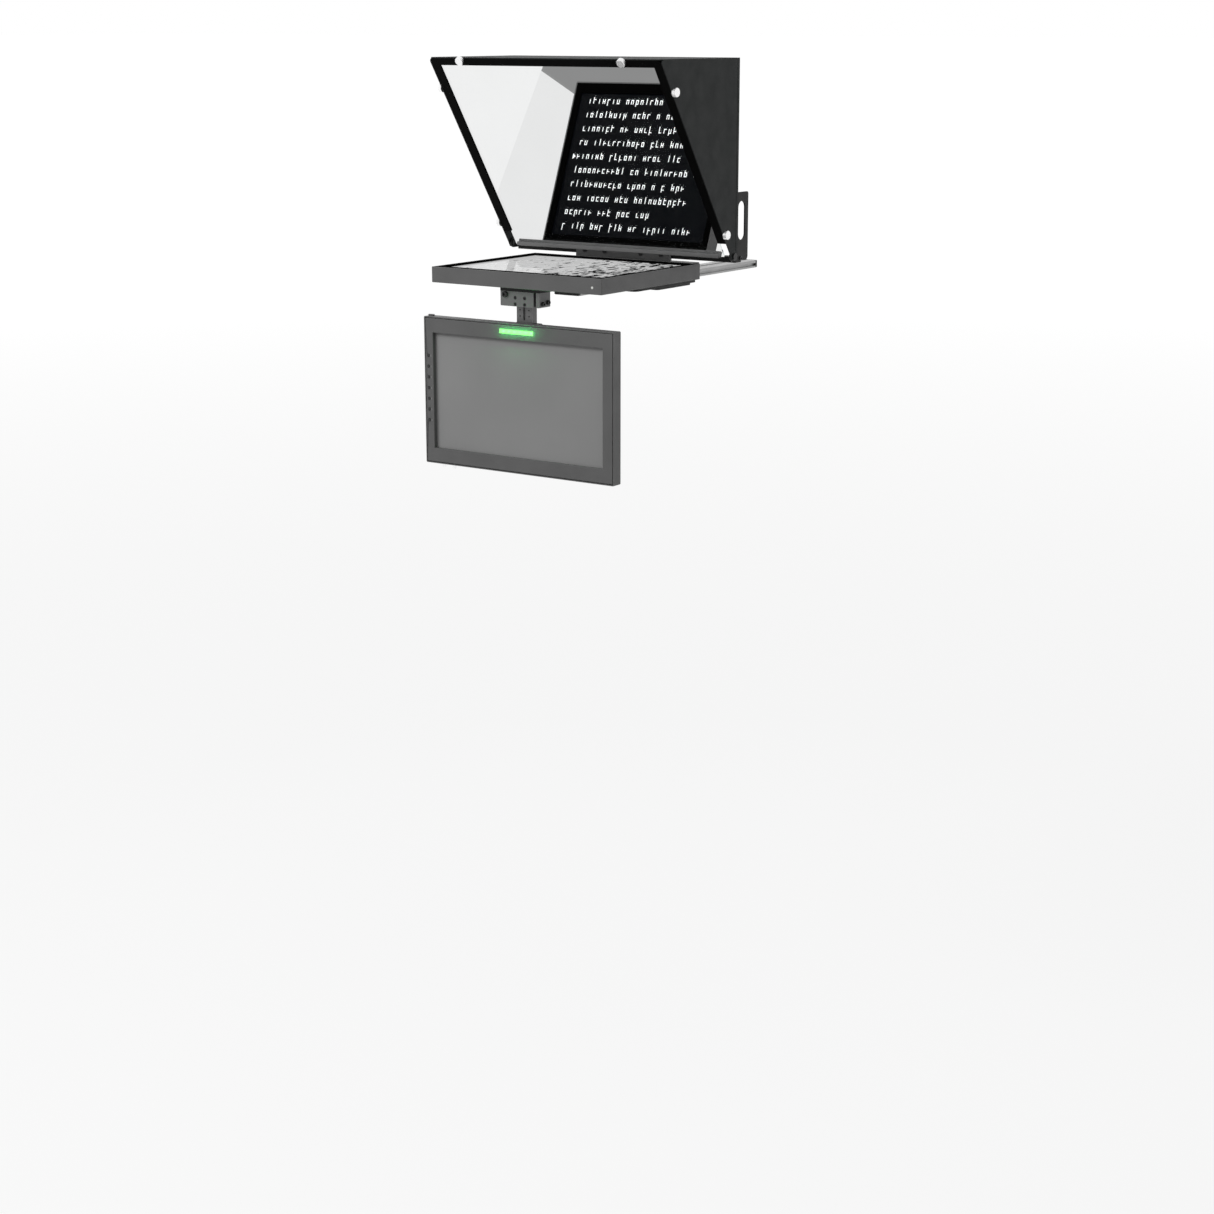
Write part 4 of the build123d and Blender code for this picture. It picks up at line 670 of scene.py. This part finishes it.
def floor():
    """A plain pale floor that turns white towards the horizon. It is clear from underneath."""
    material, tree = new_tree("pale_floor")
    away = node(tree, "VectorMath", {0: object_point(tree)}, operation="LENGTH").outputs["Value"]
    glow = remap(tree, away, 0.84, 0.97, 2.0, 14.0)
    lit = node(tree, "Emission", {"Strength": glow}).outputs[0]
    matt = node(tree, "BsdfDiffuse", {"Color": grey(0.12)}).outputs[0]
    above = node(tree, "AddShader", {0: lit, 1: matt}).outputs[0]
    below = node(tree, "BsdfTransparent").outputs[0]
    side = node(tree, "NewGeometry").outputs["Backfacing"]
    finish_material(tree, node(tree, "MixShader", {0: side, 1: above, 2: below}).outputs[0])
    corners = [(x * FLOOR_REACH, y * FLOOR_REACH) for x, y in ((-1, -1), (1, -1), (1, 1), (-1, 1))]
    stage_sheet("floor", corners, FLOOR_Z, material, "camera")


def painted_reflection_card(name, corners, brightness):
    """A flat emitting card above the floor that only the glass and other glossy faces see: a painted
    reflection, a patch of its own brightness in them.
    """
    material, tree = new_tree(name)
    finish_material(tree, node(tree, "Emission", {"Strength": brightness}).outputs[0])
    stage_sheet(name, corners, REFLECTION_CARD_Z, material, "glossy")


def softbox(name, place, width, height, watts, colour=(1, 1, 1)):
    lamp = bpy.data.lights.new(name, "AREA")
    lamp.shape = "RECTANGLE"
    lamp.size = width
    lamp.size_y = height
    lamp.energy = watts
    lamp.color = colour
    box = bpy.data.objects.new(name, lamp)
    box.location = place
    box.rotation_euler = (centre - Vector(place)).to_track_quat("-Z", "Y").to_euler()
    bpy.context.scene.collection.objects.link(box)
    box.visible_glossy = False
    return box


def white_studio(fill, from_below):
    """A white world: full white to the camera and in reflections, softer as a light, most from below."""
    world = bpy.data.worlds.new("white_studio")
    bpy.context.scene.world = world
    world.use_nodes = True
    tree = world.node_tree
    tree.nodes.clear()
    height = node(tree, "SeparateXYZ", {0: node(tree, "TexCoord").outputs["Generated"]}).outputs["Z"]
    light = remap(tree, height, from_below, fill, -1.0, 1.0)
    loss = node(tree, "Math", {0: light, 1: 1.0}, operation="SUBTRACT").outputs[0]
    diffuse = node(tree, "LightPath").outputs["Is Diffuse Ray"]
    loss = node(tree, "Math", {0: diffuse, 1: loss}, operation="MULTIPLY").outputs[0]
    strength = node(tree, "Math", {0: loss, 1: 1.0}, operation="ADD").outputs[0]
    back = node(tree, "Background", {"Color": (1, 1, 1, 1), "Strength": strength})
    output = node(tree, "OutputWorld")
    tree.links.new(back.outputs[0], output.inputs["Surface"])


def tally_glow(count=6, watts=0.012):
    """The lit tally bar throws green light on the bezel round it."""
    low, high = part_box("talent_tally_lens")
    for index in range(count):
        x = low.x + (high.x - low.x) * (index + 0.5) / count
        lamp = bpy.data.lights.new(f"tally_glow_{index}", "POINT")
        lamp.energy = watts
        lamp.color = (0.05, 1.0, 0.2)
        lamp.shadow_soft_size = 3 * MM
        glow = bpy.data.objects.new(f"tally_glow_{index}", lamp)
        glow.location = (x, low.y - 5 * MM, (low.z + high.z) / 2)
        bpy.context.scene.collection.objects.link(glow)
        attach(glow, "talent_monitor")


def camera():
    lens = bpy.data.cameras.new("camera")
    lens.sensor_width = 36
    lens.lens = 69.09
    lens.clip_start = 0.05
    lens.clip_end = 900
    eye = bpy.data.objects.new("camera", lens)
    eye.location = (2.7221, -4.1456, 0.5432)
    eye.rotation_euler = (math.radians(90 - 14.09), 0, math.radians(34.52))
    bpy.context.scene.collection.objects.link(eye)
    bpy.context.scene.camera = eye


floor()
# painted reflections in the glass: a grey patch and a near-white patch
painted_reflection_card("painted_dark_reflection_card", PAINTED_DARK_REFLECTION, 0.30)
painted_reflection_card("painted_pale_reflection_card", PAINTED_PALE_REFLECTION, 0.92)
white_studio(0.38, 0.2)
softbox("key", (-1.6, -3.0, 2.2), 1.8, 1.4, 85)
softbox("top", (0.4, -0.2, 2.8), 2.4, 2.4, 30)
tally_glow()
camera()
bpy.context.scene.view_settings.view_transform = "Standard"
